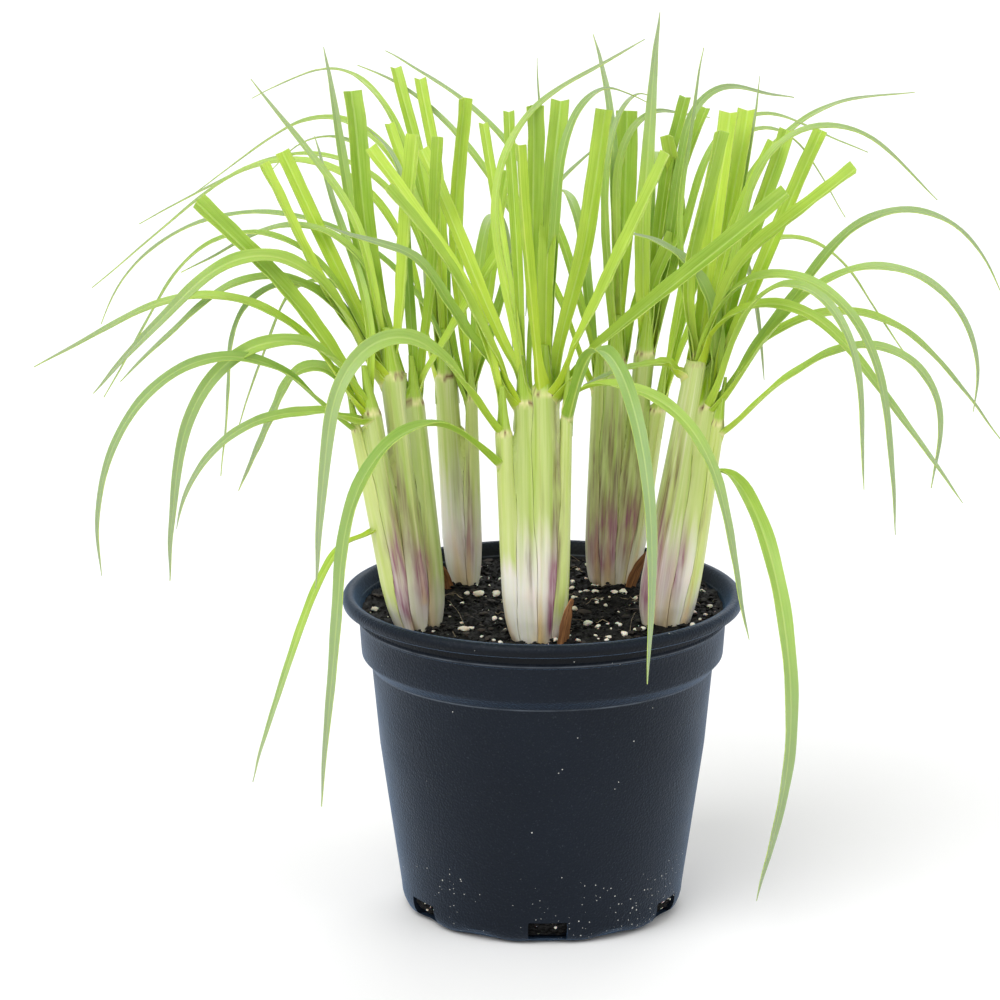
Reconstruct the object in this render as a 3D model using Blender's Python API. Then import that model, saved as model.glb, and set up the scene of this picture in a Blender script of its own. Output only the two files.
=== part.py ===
"""Lemongrass plant in a round nursery pot.

Metres, +Z up. The origin is the middle of the pot's flat underside, and -Y is the front.
Sizes are written in millimetres and turned into metres where a mesh is made.
"""

import math
from dataclasses import dataclass

import bmesh
import bpy
from mathutils import Vector

MM = 0.001
GAP = 0.3

# Pot, as radius and height of its turned wall
POT_HEIGHT = 163.0
RIM_RADIUS = 100.0
RIM_DEPTH = 6.6
FLOOR_RADIUS = 62.0
FLOOR_THICKNESS = 3.5
POT_SIDES = 36

# Drainage holes, cut through the bottom corner
HOLE_COUNT = 6
HOLE_WIDTH = 19.5
HOLE_BOTTOM = 2.4
HOLE_TOP = 12.0
HOLE_FROM_RADIUS = 62.0
HOLE_TO_RADIUS = 82.0
FRONT_HOLE_DIRECTION = -88.0

# The foot ring is scalloped between its feet
FEET = 12
FOOT_RADIUS = 65.5
FOOT_HEIGHT = 4.0
SCALLOP_HEIGHT = 1.6

# Soil
SOIL_LEVEL = 155.0
SOIL_RELIEF = 1.3
SOIL_DIP = 3.0
SOIL_RINGS = 4

# Stems
STEM_SIDES = 10
ROOT_DEPTH = 13.0
COLLAR_DOME = 6.0
TOP_DEPTH_RATIO = 1.15

# Leaf blades
BLADE_THICKNESS = 1.2
BLADE_FOLD = 0.12
SUNK_ROOT = 4.0
CURVE_STEPS = 60
DEGREES_PER_SEGMENT = 23.0
STRAIGHT_SEGMENTS = 3
TIP_WIDTH = 0.9
ROOT_OFFSET = 3.0
ROLL_SHARE = 0.35
OPENING_SHARE = 0.25
CUT_OPENING_SHARE = 0.55

CUT = "cut"
POINT = "point"


@dataclass(frozen=True)
class Blade:
    """One leaf blade, which leaves its stem in one direction and bends over.

    Azimuth is its compass direction in degrees, 0 to the right and 90 to the back. Rise and
    fall are the slopes of its root and its tip. It turns from one to the other about
    bend_at, over bend_over, both as shares of its length. Turn rolls its upper face to the
    side, and down is how far below the stem's top it grows.
    """

    azimuth: float
    length: float
    rise: float
    fall: float
    bend_at: float
    bend_over: float
    width: float
    turn: float
    tip: str = POINT
    down: float = 0.0


@dataclass(frozen=True)
class Stem:
    """One leafy stem, from its place in the soil up to the collar where its blades part."""

    name: str
    base: tuple
    base_radius: float
    top: tuple
    top_radius: float
    depth: float
    blades: tuple


FRONT_CLUMP = (
    Stem("front_left_shoot", (-16, -55), 3.8, (-19.5, -60, 260), 4.4, 1.6, (
        Blade(155, 155, 86, 50, 0.35, 0.7, 5.5, -40, CUT),
        Blade(220, 230, 49, -85, 0.45, 0.5, 6.5, -50),
        Blade(235, 270, 93, -90, 0.20, 1.5, 6.0, -20),
    )),
    Stem("front_left_stem", (-8, -52), 5.0, (-10, -52, 273), 4.7, 1.7, (
        Blade(125, 140, 91, 50, 0.05, 0.3, 6.0, -20, CUT),
        Blade(200, 130, 63, 50, 0.65, 0.4, 6.0, -50, CUT),
        Blade(105, 145, 84, 55, 0.15, 0.2, 4.0, -5, CUT),
        Blade(95, 150, 76, 55, 0.20, 0.4, 4.5, -5, CUT),
        Blade(80, 175, 50, 95, 0.40, 0.6, 2.5, 5),
        Blade(185, 135, 56, 20, 0.65, 0.2, 6.0, -50),
        Blade(45, 235, 103, 15, 0.55, 0.5, 4.5, 20),
    )),
    Stem("front_right_stem", (2, -54), 5.0, (0.5, -55, 279), 6.4, 1.7, (
        Blade(115, 140, 72, 90, 0.25, 0.4, 7.5, -5, CUT),
        Blade(245, 130, 71, 80, 0.25, 0.4, 5.0, -5, CUT),
        Blade(80, 145, 92, 60, 0.40, 0.4, 7.5, 5, CUT),
        Blade(55, 140, 64, 75, 0.50, 0.2, 6.5, 20, CUT),
        Blade(340, 135, 61, 65, 0.30, 0.6, 6.5, 50, CUT),
        Blade(0, 150, 52, 40, 0.05, 0.4, 7.0, 50, CUT),
        Blade(55, 205, 86, -25, 0.70, 0.5, 5.0, 20),
    )),
    Stem("front_right_shoot", (9.5, -55), 3.2, (11.3, -58, 272), 3.0, 1.6, (
        Blade(285, 270, 58, -95, 0.40, 1.0, 7.0, 5),
        Blade(335, 180, 69, -75, 0.20, 0.9, 5.0, 40),
    )),
)

LEFT_CLUMP = (
    Stem("left_outer_shoot", (-72, -36), 4.5, (-91.5, -38, 256), 3.2, 1.4, (
        Blade(215, 230, 40, -95, 0.55, 0.9, 5.5, -40),
        Blade(160, 120, 83, -65, 0.30, 0.5, 6.5, -50),
        Blade(240, 160, 39, -60, 0.05, 1.6, 4.0, -20, POINT, 46),
    )),
    Stem("left_low_stem", (-66.5, -38), 4.6, (-84.5, -44, 266), 4.0, 1.6, (
        Blade(180, 135, 73, 45, 0.25, 1.5, 8.0, -50, CUT),
        Blade(110, 155, 92, 40, 0.30, 0.6, 4.5, -5),
        Blade(175, 195, 52, -30, 0.45, 0.7, 5.0, -40),
        Blade(200, 210, 72, -85, 0.35, 0.9, 6.0, -50),
        Blade(220, 140, 8, -95, 0.75, 1.0, 5.0, -40),
    )),
    Stem("left_main_stem", (-59, -31), 5.5, (-74, -32, 282), 6.0, 1.6, (
        Blade(115, 140, 67, 75, 0.50, 0.4, 8.0, -5, CUT),
        Blade(175, 120, 52, 65, 0.40, 0.7, 5.5, -40, CUT),
        Blade(150, 120, 61, 60, 0.40, 0.7, 6.0, -50, CUT),
        Blade(120, 165, 62, 70, 0.40, 0.7, 6.0, -20),
        Blade(145, 165, 82, 45, 0.45, 0.4, 5.0, -40),
        Blade(195, 200, 57, -45, 0.45, 0.5, 7.5, -50),
        Blade(180, 170, 53, -45, 0.45, 0.6, 5.5, -40),
        Blade(175, 180, 60, -85, 0.40, 0.6, 4.5, -25),
        Blade(170, 225, 65, -60, 0.45, 0.6, 4.5, -25),
    )),
    Stem("left_green_stem", (-51, -26), 4.8, (-62.5, -26, 267), 4.4, 1.5, (
        Blade(120, 150, 86, 20, 0.75, 0.3, 5.0, -20),
        Blade(160, 175, 59, -70, 0.45, 0.4, 4.5, -25),
        Blade(170, 175, 73, -30, 0.55, 0.6, 4.5, -25),
        Blade(65, 130, 74, 85, 0.55, 0.3, 5.0, 5, CUT),
        Blade(25, 85, 78, 55, 0.15, 0.2, 4.5, 25, CUT),
    )),
)

BACK_LEFT_CLUMP = (
    Stem("back_left_stem", (-43, 48), 6.5, (-48.5, 50, 262), 6.0, 1.3, (
        Blade(115, 160, 79, 55, 0.55, 0.5, 5.0, -5, CUT),
        Blade(105, 155, 85, 50, 0.60, 0.4, 5.0, -5, CUT),
        Blade(130, 130, 80, 60, 0.55, 0.6, 4.5, -20, CUT),
        Blade(165, 275, 75, -40, 0.45, 0.6, 4.5, -25),
        Blade(155, 255, 83, -30, 0.45, 0.7, 4.0, -25),
        Blade(130, 310, 87, -30, 0.40, 0.7, 4.5, -20),
        Blade(115, 335, 86, -20, 0.40, 0.9, 4.0, -5),
        Blade(95, 255, 73, -70, 0.45, 0.8, 6.0, 10),
    )),
    Stem("back_left_slim_stem", (-34, 44), 4.5, (-35.5, 44, 252), 3.2, 1.5, (
        Blade(115, 155, 72, 100, 0.45, 0.5, 6.0, -5, CUT),
        Blade(130, 230, 65, -40, 0.65, 0.8, 4.0, -20),
        Blade(170, 260, 68, -95, 0.65, 1.4, 4.5, -25),
        Blade(35, 150, 72, 15, 0.75, 1.1, 4.5, 25),
        Blade(80, 220, 70, -75, 0.50, 0.7, 5.5, -10),
    )),
)

BACK_RIGHT_CLUMP = (
    Stem("back_right_slim_stem", (24.5, 45), 3.2, (28, 46, 260), 3.0, 1.8, (
        Blade(145, 215, 77, 10, 0.60, 1.2, 4.5, -25),
        Blade(150, 210, 61, -25, 0.95, 1.5, 4.5, -25),
        Blade(105, 230, 72, -70, 0.50, 0.8, 5.5, 10),
    )),
    Stem("back_right_main_stem", (32, 43), 5.2, (37, 44, 271), 5.5, 1.6, (
        Blade(80, 125, 72, 80, 0.50, 0.4, 9.0, 5, CUT),
        Blade(110, 170, 90, 45, 0.75, 0.4, 5.5, -5),
        Blade(65, 175, 105, -60, 0.80, 1.0, 4.5, 5),
        Blade(50, 185, 91, -15, 0.65, 0.4, 4.5, 20),
        Blade(45, 135, 69, 60, 0.25, 1.2, 4.5, 20, CUT),
    )),
    Stem("back_right_mid_stem", (40.5, 46), 4.5, (51.5, 48, 274), 5.5, 1.7, (
        Blade(75, 175, 99, 70, 0.40, 0.2, 6.0, 5),
        Blade(50, 115, 67, 105, 0.60, 0.2, 6.0, 20, CUT),
        Blade(55, 130, 80, 60, 0.75, 0.4, 5.0, 20, CUT),
        Blade(35, 190, 78, -15, 0.70, 0.3, 5.0, 40),
        Blade(30, 210, 71, -25, 0.60, 0.4, 4.5, 25),
        Blade(30, 62, 90, 62, 0.50, 0.6, 6.5, 40, CUT),
        Blade(85, 260, 74, -60, 0.45, 0.8, 6.0, 10),
    )),
    Stem("back_right_outer_stem", (47, 42), 3.4, (58.5, 42, 246), 4.0, 1.6, (
        Blade(50, 280, 68, -5, 0.50, 0.9, 4.5, 20),
        Blade(30, 235, 77, -55, 0.65, 0.4, 4.5, 25),
        Blade(20, 235, 71, -55, 0.45, 0.6, 4.5, 25),
        Blade(65, 225, 62, -75, 0.50, 0.8, 5.5, 10),
    )),
)

RIGHT_CLUMP = (
    Stem("right_main_stem", (53, -31), 9.0, (74.5, -30, 287), 5.4, 1.1, (
        Blade(70, 125, 73, 65, 0.25, 0.8, 8.0, 5, CUT),
        Blade(140, 120, 84, 105, 0.35, 0.4, 4.5, -25, CUT),
        Blade(40, 115, 74, 55, 0.55, 0.7, 4.5, 25, CUT),
        Blade(345, 130, 73, 40, 0.40, 0.4, 6.5, 50, CUT),
        Blade(125, 160, 80, 105, 0.50, 0.4, 3.0, -20),
        Blade(335, 200, 85, -35, 0.20, 0.6, 5.0, 40),
        Blade(330, 225, 105, -85, 0.30, 1.0, 5.5, 40),
        Blade(230, 40, 50, -10, 0.05, 0.2, 5.0, -20, CUT),
    )),
    Stem("right_side_stem", (66, -27), 4.6, (80, -26, 265), 4.6, 1.6, (
        Blade(70, 150, 84, 60, 0.25, 0.4, 7.5, 5, CUT),
        Blade(40, 140, 76, 65, 0.40, 0.6, 6.5, 50, CUT),
        Blade(20, 145, 72, 65, 0.25, 0.3, 6.0, 50, CUT),
        Blade(65, 165, 66, 70, 0.50, 0.7, 3.0, 5),
        Blade(5, 230, 81, -45, 0.65, 0.5, 5.0, 40),
        Blade(0, 205, 54, -65, 0.70, 0.6, 5.5, 40),
        Blade(340, 215, 51, -100, 0.65, 0.8, 5.5, 40),
        Blade(310, 215, 64, -85, 0.50, 0.7, 5.5, 20),
        Blade(20, 205, 49, -50, 0.40, 0.7, 5.0, 40),
        Blade(165, 110, 105, 20, 0.60, 1.0, 7.0, -50),
    )),
    Stem("right_outer_shoot", (72.5, -30), 3.2, (86, -30, 257), 3.2, 1.6, (
        Blade(345, 175, 37, -100, 0.60, 0.7, 5.5, 40),
        Blade(290, 275, 103, -100, 0.10, 1.2, 6.5, 5, POINT, 29),
    )),
)

CLUMPS = (FRONT_CLUMP, LEFT_CLUMP, BACK_LEFT_CLUMP, BACK_RIGHT_CLUMP, RIGHT_CLUMP)

# Dry brown husks: name, place of the root in the soil, and the blade that it is
HUSKS = (
    ("front_dry_husk", (16.0, -60.5), Blade(45, 34, 80, 62, 0.6, 0.8, 6.0, 20)),
    ("back_left_dry_husk", (-47.0, 35.5), Blade(240, 22, 78, 60, 0.6, 0.8, 5.5, 10)),
    ("back_right_dry_husk", (45.0, 32.5), Blade(320, 36, 76, 58, 0.6, 0.8, 9.0, 20)),
)
HUSK_ROOT = 6.0
HUSK_HOLE_GROW = 0.8


def smooth_step(value):
    """Return an S curve from 0 to 1, flat at both ends."""
    value = min(max(value, 0.0), 1.0)
    return value * value * (3.0 - 2.0 * value)


def mix(first, second, share):
    """Return the value that lies share of the way from first to second."""
    return first + (second - first) * share


def new_material(name, colour, roughness):
    """Make a plain material of one colour."""
    material = bpy.data.materials.new(name)
    material.use_nodes = True
    shader = material.node_tree.nodes["Principled BSDF"]
    shader.inputs["Base Color"].default_value = (*colour, 1.0)
    shader.inputs["Roughness"].default_value = roughness
    shader.inputs["Metallic"].default_value = 0.0
    return material


def new_object(name, mesh, material=None):
    """Put a mesh in the scene as an object, closed and facing out."""
    surface = bmesh.new()
    surface.from_mesh(mesh)
    bmesh.ops.recalc_face_normals(surface, faces=surface.faces)
    surface.to_mesh(mesh)
    surface.free()
    thing = bpy.data.objects.new(name, mesh)
    bpy.context.scene.collection.objects.link(thing)
    if material is not None:
        mesh.materials.append(material)
    return thing


def ring_mesh(name, rings, start, end):
    """Join closed rings of points into a tube, and close it with a point at each end.

    Each quad is split along the same diagonal seen from either face of a thin blade.
    """
    count = len(rings[0])
    points = [start] + [point for ring in rings for point in ring] + [end]
    last = len(points) - 1
    faces = []
    for side in range(count):
        after = (side + 1) % count
        faces.append((0, 1 + after, 1 + side))
        tail = 1 + (len(rings) - 1) * count
        faces.append((last, tail + side, tail + after))
        for row in range(len(rings) - 1):
            low = 1 + row * count
            high = low + count
            a, b, c, d = low + side, low + after, high + after, high + side
            # The even corners are the blade's edges, so both faces split alike
            split = ((a, b, c), (a, c, d)) if side % 2 == 0 else ((b, c, d), (b, d, a))
            faces.extend(split)
    mesh = bpy.data.meshes.new(name)
    mesh.from_pydata([Vector(point) * MM for point in points], [], faces)
    mesh.update()
    return mesh


def union_all(base, parts):
    """Fuse the parts into the base with one Boolean on a collection, and remove them."""
    group = bpy.data.collections.new(base.name + "_parts")
    bpy.context.scene.collection.children.link(group)
    for part in parts:
        bpy.context.scene.collection.objects.unlink(part)
        group.objects.link(part)
    apply_boolean(base, "UNION", group)
    for part in parts:
        bpy.data.objects.remove(part)
    bpy.data.collections.remove(group)


def cut_all(base, cutters):
    """Cut the cutters out of the base with one Boolean on a collection, and remove them."""
    group = bpy.data.collections.new(base.name + "_cutters")
    bpy.context.scene.collection.children.link(group)
    for cutter in cutters:
        bpy.context.scene.collection.objects.unlink(cutter)
        group.objects.link(cutter)
    apply_boolean(base, "DIFFERENCE", group)
    for cutter in cutters:
        bpy.data.objects.remove(cutter)
    bpy.data.collections.remove(group)


def apply_boolean(base, operation, group):
    """Apply one EXACT Boolean with a collection to an object."""
    boolean = base.modifiers.new("join", "BOOLEAN")
    boolean.operation = operation
    boolean.operand_type = "COLLECTION"
    boolean.collection = group
    boolean.solver = "EXACT"
    bpy.context.view_layer.update()
    seen = base.evaluated_get(bpy.context.evaluated_depsgraph_get())
    result = bpy.data.meshes.new_from_object(seen)
    base.modifiers.remove(boolean)
    old = base.data
    base.data = result
    result.name = base.name
    bpy.data.meshes.remove(old)


def turned_mesh(name, profile, sides, height_at=None):
    """Turn a profile of (radius, height) points about Z; its ends lie on the axis."""
    surface = bmesh.new()
    poles = [surface.verts.new((0, 0, profile[i][1] * MM)) for i in (0, -1)]
    rings = []
    for radius, height in profile[1:-1]:
        ring = []
        for side in range(sides):
            angle = math.tau * side / sides
            level = height if height_at is None else height_at(radius, height, angle)
            spot = (radius * math.cos(angle), radius * math.sin(angle), level)
            ring.append(surface.verts.new(Vector(spot) * MM))
        rings.append(ring)
    for side in range(sides):
        after = (side + 1) % sides
        surface.faces.new((poles[0], rings[0][side], rings[0][after]))
        surface.faces.new((poles[1], rings[-1][after], rings[-1][side]))
        for low, high in zip(rings, rings[1:]):
            surface.faces.new((low[side], low[after], high[after], high[side]))
    bmesh.ops.recalc_face_normals(surface, faces=surface.faces)
    mesh = bpy.data.meshes.new(name)
    surface.to_mesh(mesh)
    surface.free()
    return mesh


def pot_outside():
    """Return the outer profile of the pot, from the floor up to the crown of its rim."""
    return [
        (0.0, 0.0), (FLOOR_RADIUS, 0.0), (FOOT_RADIUS, 0.6), (69.2, 3.6), (70.6, 8.0),
        (76.2, 48.0), (81.5, 85.0), (85.5, 126.5), (90.5, 132.0), (91.6, 148.6),
        (92.4, 149.4), (92.4, 151.0), (91.9, 151.8), (92.1, POT_HEIGHT - RIM_DEPTH),
        (98.9, POT_HEIGHT - RIM_DEPTH), (RIM_RADIUS, POT_HEIGHT - 5.4),
        (RIM_RADIUS, POT_HEIGHT - 2.8), (99.1, POT_HEIGHT - 0.9), (97.2, POT_HEIGHT),
    ]


def pot_inside():
    """Return the inner profile of the pot, from its rim down to the floor."""
    return [
        (95.0, POT_HEIGHT - 0.3), (93.8, POT_HEIGHT - 1.8), (91.6, 157.0), (90.0, 149.0),
        (88.8, 133.2), (83.8, 127.6), (79.8, 85.0), (74.5, 48.0), (68.9, 9.0), (67.2, 5.4),
        (63.2, FLOOR_THICKNESS), (0.0, FLOOR_THICKNESS),
    ]


def scalloped(radius, height, angle):
    """Lift the foot ring between its feet."""
    if radius < FOOT_RADIUS or height > FOOT_HEIGHT:
        return height
    turn = angle - math.radians(FRONT_HOLE_DIRECTION)
    return height + SCALLOP_HEIGHT * (0.5 + 0.5 * math.cos(FEET * turn))


def hole_cutter(index):
    """Make the block that cuts one drainage hole."""
    direction = math.radians(FRONT_HOLE_DIRECTION + 360.0 * index / HOLE_COUNT)
    along = Vector((math.cos(direction), math.sin(direction), 0.0))
    across = Vector((-along.y, along.x, 0.0))
    surface = bmesh.new()
    bmesh.ops.create_cube(surface, size=1.0)
    middle = along * (HOLE_FROM_RADIUS + HOLE_TO_RADIUS) / 2.0
    middle.z = (HOLE_BOTTOM + HOLE_TOP) / 2.0
    for vert in surface.verts:
        x, y, z = vert.co
        spot = along * x * (HOLE_TO_RADIUS - HOLE_FROM_RADIUS) + across * y * HOLE_WIDTH
        spot.z = z * (HOLE_TOP - HOLE_BOTTOM)
        vert.co = (middle + spot) * MM
    mesh = bpy.data.meshes.new("hole")
    surface.to_mesh(mesh)
    surface.free()
    return new_object(f"hole_{index}", mesh)


def make_pot(material):
    """Make the pot with its rolled rim, collar and drainage holes."""
    mesh = turned_mesh("pot", pot_outside() + pot_inside(), POT_SIDES, scalloped)
    pot = new_object("pot", mesh, material)
    cut_all(pot, [hole_cutter(index) for index in range(HOLE_COUNT)])
    return pot


def soil_height(radius, height, angle):
    """Return the height of the rough soil surface, which rises a little to the back right."""
    if height < SOIL_LEVEL - 1.0:
        return height
    x = radius * math.cos(angle)
    y = radius * math.sin(angle)
    slope = 1.2 * (x + y) / RIM_RADIUS
    waves = math.sin(0.11 * x + 0.7) * math.cos(0.13 * y) + 0.6 * math.sin(0.31 * x - 0.27 * y)
    return height + slope + SOIL_RELIEF * waves / 1.6


def make_soil(material, stems_and_husks):
    """Fill the pot with soil, which keeps a plain hole round each stem and husk."""
    wall = [(radius - GAP, height) for radius, height in reversed(pot_inside()[3:-1])]
    wall[0] = (wall[0][0], FLOOR_THICKNESS + GAP)
    upper, lower = pot_inside()[2:4]
    edge_share = (SOIL_LEVEL - SOIL_DIP - lower[1]) / (upper[1] - lower[1])
    edge_radius = mix(lower[0], upper[0], edge_share) - GAP
    top = [(edge_radius * ring / SOIL_RINGS, SOIL_LEVEL) for ring in range(SOIL_RINGS, -1, -1)]
    profile = [(0.0, FLOOR_THICKNESS + GAP)] + wall + top
    mesh = turned_mesh("soil", profile, POT_SIDES, soil_height)
    soil = new_object("soil", mesh, material)
    cut_all(soil, stems_and_husks)
    return soil


def stem_centre(stem, height):
    """Return the x and y of a stem's middle at a height, and the share of the way up it."""
    share = (height - SOIL_LEVEL) / (stem.top[2] - SOIL_LEVEL)
    return mix(stem.base[0], stem.top[0], share), mix(stem.base[1], stem.top[1], share), share


def border(left, right, height):
    """Return the x at which two stems of a clump press against each other."""
    left_x, _, left_share = stem_centre(left, height)
    right_x, _, right_share = stem_centre(right, height)
    left_radius = mix(left.base_radius, left.top_radius, left_share)
    right_radius = mix(right.base_radius, right.top_radius, right_share)
    return mix(left_x, right_x, left_radius / (left_radius + right_radius))


def stem_body(stem, clump, grow=0.0):
    """Make a stem: swollen at its foot, pressed flat by its neighbours, domed at its collar."""
    place = clump.index(stem)
    top = stem.top[2]
    levels = [
        (SOIL_LEVEL - ROOT_DEPTH - grow, 0.40), (SOIL_LEVEL - ROOT_DEPTH + 3.0, 0.70),
        (SOIL_LEVEL + 5.0, 0.94), (SOIL_LEVEL + 20.0, 1.02), (mix(SOIL_LEVEL, top, 0.5), 1.0),
        (top - 12.0, 0.97), (top - 1.0, 1.12), (top + 2.0, 0.86), (top + COLLAR_DOME, 0.35),
    ]
    rings = []
    for height, swell in levels:
        x, y, share = stem_centre(stem, height)
        radius = mix(stem.base_radius, stem.top_radius, share) * swell
        depth = radius * mix(stem.depth, TOP_DEPTH_RATIO, share)
        low, high = -1000.0, 1000.0
        if place > 0:
            low = border(clump[place - 1], stem, height) + GAP / 2.0 - grow
        if place < len(clump) - 1:
            high = border(stem, clump[place + 1], height) - GAP / 2.0 + grow
        ring = []
        for side in range(STEM_SIDES):
            angle = math.tau * side / STEM_SIDES
            across = x + (radius + grow) * math.cos(angle)
            ring.append((min(max(across, low), high), y + (depth + grow) * math.sin(angle), height))
        rings.append(ring)
    start = [sum(values) / STEM_SIDES for values in zip(*rings[0])]
    end = [sum(values) / STEM_SIDES for values in zip(*rings[-1])]
    end[2] += 1.0
    return new_object(stem.name, ring_mesh(stem.name, rings, start, end))


def blade_width(blade, share):
    """Return a blade's width at a share of its length."""
    if blade.tip == CUT:
        return blade.width * mix(0.55, 1.0, smooth_step(share / CUT_OPENING_SHARE))
    opening = mix(0.6, 1.0, smooth_step(share / OPENING_SHARE))
    return max(blade.width * opening * (1.0 - share ** 2.4) ** 0.8, TIP_WIDTH)


def blade_body(name, blade, root, grow=0.0):
    """Make one folded blade that bends over as it grows out from its root."""
    azimuth = math.radians(blade.azimuth)
    out = Vector((math.cos(azimuth), math.sin(azimuth), 0.0))
    side = Vector((math.sin(azimuth), -math.cos(azimuth), 0.0))
    up = Vector((0.0, 0.0, 1.0))

    def slope(share):
        bent = smooth_step((share - blade.bend_at) / blade.bend_over + 0.5)
        return math.radians(mix(blade.rise, blade.fall, bent))

    sweep = abs(math.degrees(slope(1.0) - slope(0.0)))
    segments = STRAIGHT_SEGMENTS + math.ceil(sweep / DEGREES_PER_SEGMENT)
    steps = CURVE_STEPS // segments * segments
    step = blade.length / steps
    start_slope = slope(0.0)
    first = out * math.cos(start_slope) + up * math.sin(start_slope)
    path = [(Vector(root) - first * (SUNK_ROOT + grow), 0.0)]
    spot = Vector(root)
    for count in range(steps):
        angle = slope((count + 0.5) / steps)
        spot += (out * math.cos(angle) + up * math.sin(angle)) * step
        if (count + 1) % (steps // segments) == 0:
            path.append((spot.copy(), (count + 1) / steps))
    rings = []
    for middle, share in path:
        angle = slope(share)
        face = up * math.cos(angle) - out * math.sin(angle)
        roll = math.radians(blade.turn) * smooth_step(share / ROLL_SHARE)
        normal = face * math.cos(roll) + side * math.sin(roll)
        across = side * math.cos(roll) - face * math.sin(roll)
        half = across * (blade_width(blade, share) / 2.0 + grow)
        lift = normal * half.length * 2.0 * BLADE_FOLD
        thick = normal * (min(BLADE_THICKNESS, blade_width(blade, share)) / 2.0 + grow)
        rings.append([middle - half + lift, middle + thick, middle + half + lift, middle - thick])
    start = sum((point for point in rings[0]), Vector()) / 4.0
    end = sum((point for point in rings[-1]), Vector()) / 4.0
    if blade.tip == POINT:
        final = slope(1.0)
        end += (out * math.cos(final) + up * math.sin(final)) * TIP_WIDTH * 2.0
    return new_object(name, ring_mesh(name, rings, start, end))


def make_stem(stem, clump, material):
    """Make a leafy stem with its blades fused to it."""
    body = stem_body(stem, clump)
    body.data.materials.append(material)
    offset = min(stem.top_radius * 0.5, ROOT_OFFSET)
    blades = []
    for index, blade in enumerate(stem.blades):
        height = stem.top[2] - blade.down
        x, y, _ = stem_centre(stem, height)
        azimuth = math.radians(blade.azimuth)
        root = (x + offset * math.cos(azimuth), y + offset * math.sin(azimuth), height)
        blades.append(blade_body(f"{stem.name}_blade_{index}", blade, root))
    union_all(body, blades)
    return body


def husk_root(place):
    """Return the buried root of a husk."""
    return (place[0], place[1], SOIL_LEVEL - HUSK_ROOT)


def main():
    """Build the pot, its soil, the stems and the husks."""
    for thing in list(bpy.data.objects):
        bpy.data.objects.remove(thing)
    plastic = new_material("pot_plastic", (0.018, 0.024, 0.032), 0.5)
    earth = new_material("potting_soil", (0.012, 0.009, 0.007), 0.95)
    leaf = new_material("leaf_green", (0.36, 0.55, 0.08), 0.5)
    dry = new_material("dry_husk", (0.25, 0.13, 0.05), 0.8)

    make_pot(plastic)
    cutters = []
    for clump in CLUMPS:
        for stem in clump:
            cutters.append(stem_body(stem, clump, GAP))
    for name, place, blade in HUSKS:
        cutters.append(blade_body(name + "_hole", blade, husk_root(place), HUSK_HOLE_GROW))
    make_soil(earth, cutters)
    for clump in CLUMPS:
        for stem in clump:
            make_stem(stem, clump, leaf)
    for name, place, blade in HUSKS:
        husk = blade_body(name, blade, husk_root(place))
        husk.data.materials.append(dry)


if __name__ == "__main__":
    main()
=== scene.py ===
import logging
import math
import random
from contextlib import contextmanager
from dataclasses import dataclass, field
from enum import Enum
from typing import Callable, Iterator, Sequence

import bpy
import numpy as np
from mathutils import Matrix, Vector, noise


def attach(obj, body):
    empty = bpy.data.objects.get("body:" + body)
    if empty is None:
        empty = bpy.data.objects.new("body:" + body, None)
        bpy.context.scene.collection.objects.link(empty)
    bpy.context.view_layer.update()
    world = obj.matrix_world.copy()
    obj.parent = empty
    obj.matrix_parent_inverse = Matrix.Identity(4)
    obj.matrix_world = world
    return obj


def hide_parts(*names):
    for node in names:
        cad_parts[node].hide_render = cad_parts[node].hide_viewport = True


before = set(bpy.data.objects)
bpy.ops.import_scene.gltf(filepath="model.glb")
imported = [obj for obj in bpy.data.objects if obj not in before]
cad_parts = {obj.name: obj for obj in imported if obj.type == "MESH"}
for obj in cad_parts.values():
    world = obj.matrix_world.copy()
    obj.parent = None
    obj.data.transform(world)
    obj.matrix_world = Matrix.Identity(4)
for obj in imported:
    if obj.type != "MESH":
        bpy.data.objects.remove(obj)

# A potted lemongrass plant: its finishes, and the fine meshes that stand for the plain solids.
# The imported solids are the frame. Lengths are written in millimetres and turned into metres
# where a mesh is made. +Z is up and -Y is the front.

log = logging.getLogger("lemongrass")

Amount = float | np.ndarray
Colour = tuple[float, float, float]
Spot = tuple[float, float]
Socket = bpy.types.NodeSocket

MM = 0.001
SOIL_LEVEL = 155.0
UP = Vector((0.0, 0.0, 1.0))


def smooth_step(value: float) -> float:
    """Return an S curve from 0 to 1, flat at both ends."""
    value = min(max(value, 0.0), 1.0)
    return value * value * (3.0 - 2.0 * value)


def mix(first: Amount, second: Amount, share: Amount) -> Amount:
    """Return the value that lies share of the way from first to second."""
    return first + (second - first) * share


def tint(red: int, green: int, blue: int) -> Colour:
    """Return a screen colour, 0 to 255 a channel, as the linear colour a shader takes."""
    shares = [channel / 255.0 for channel in (red, green, blue)]
    return tuple(s / 12.92 if s <= 0.04045 else ((s + 0.055) / 1.055) ** 2.4 for s in shares)


def turned_from(angle: float, middle: float) -> float:
    """Return how far an angle lies from a middle one, from -180 to 180 degrees."""
    return (angle - middle + 180.0) % 360.0 - 180.0


def heading(degrees: float) -> tuple[Vector, Vector]:
    """Return the level direction at a compass angle, and the one square to it, to its right."""
    angle = math.radians(degrees)
    ahead = Vector((math.cos(angle), math.sin(angle), 0.0))
    return ahead, Vector((math.sin(angle), -math.cos(angle), 0.0))


class Tip(Enum):
    """How a blade ends."""

    CUT = "cut"
    POINT = "point"


CUT = Tip.CUT
POINT = Tip.POINT


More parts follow.
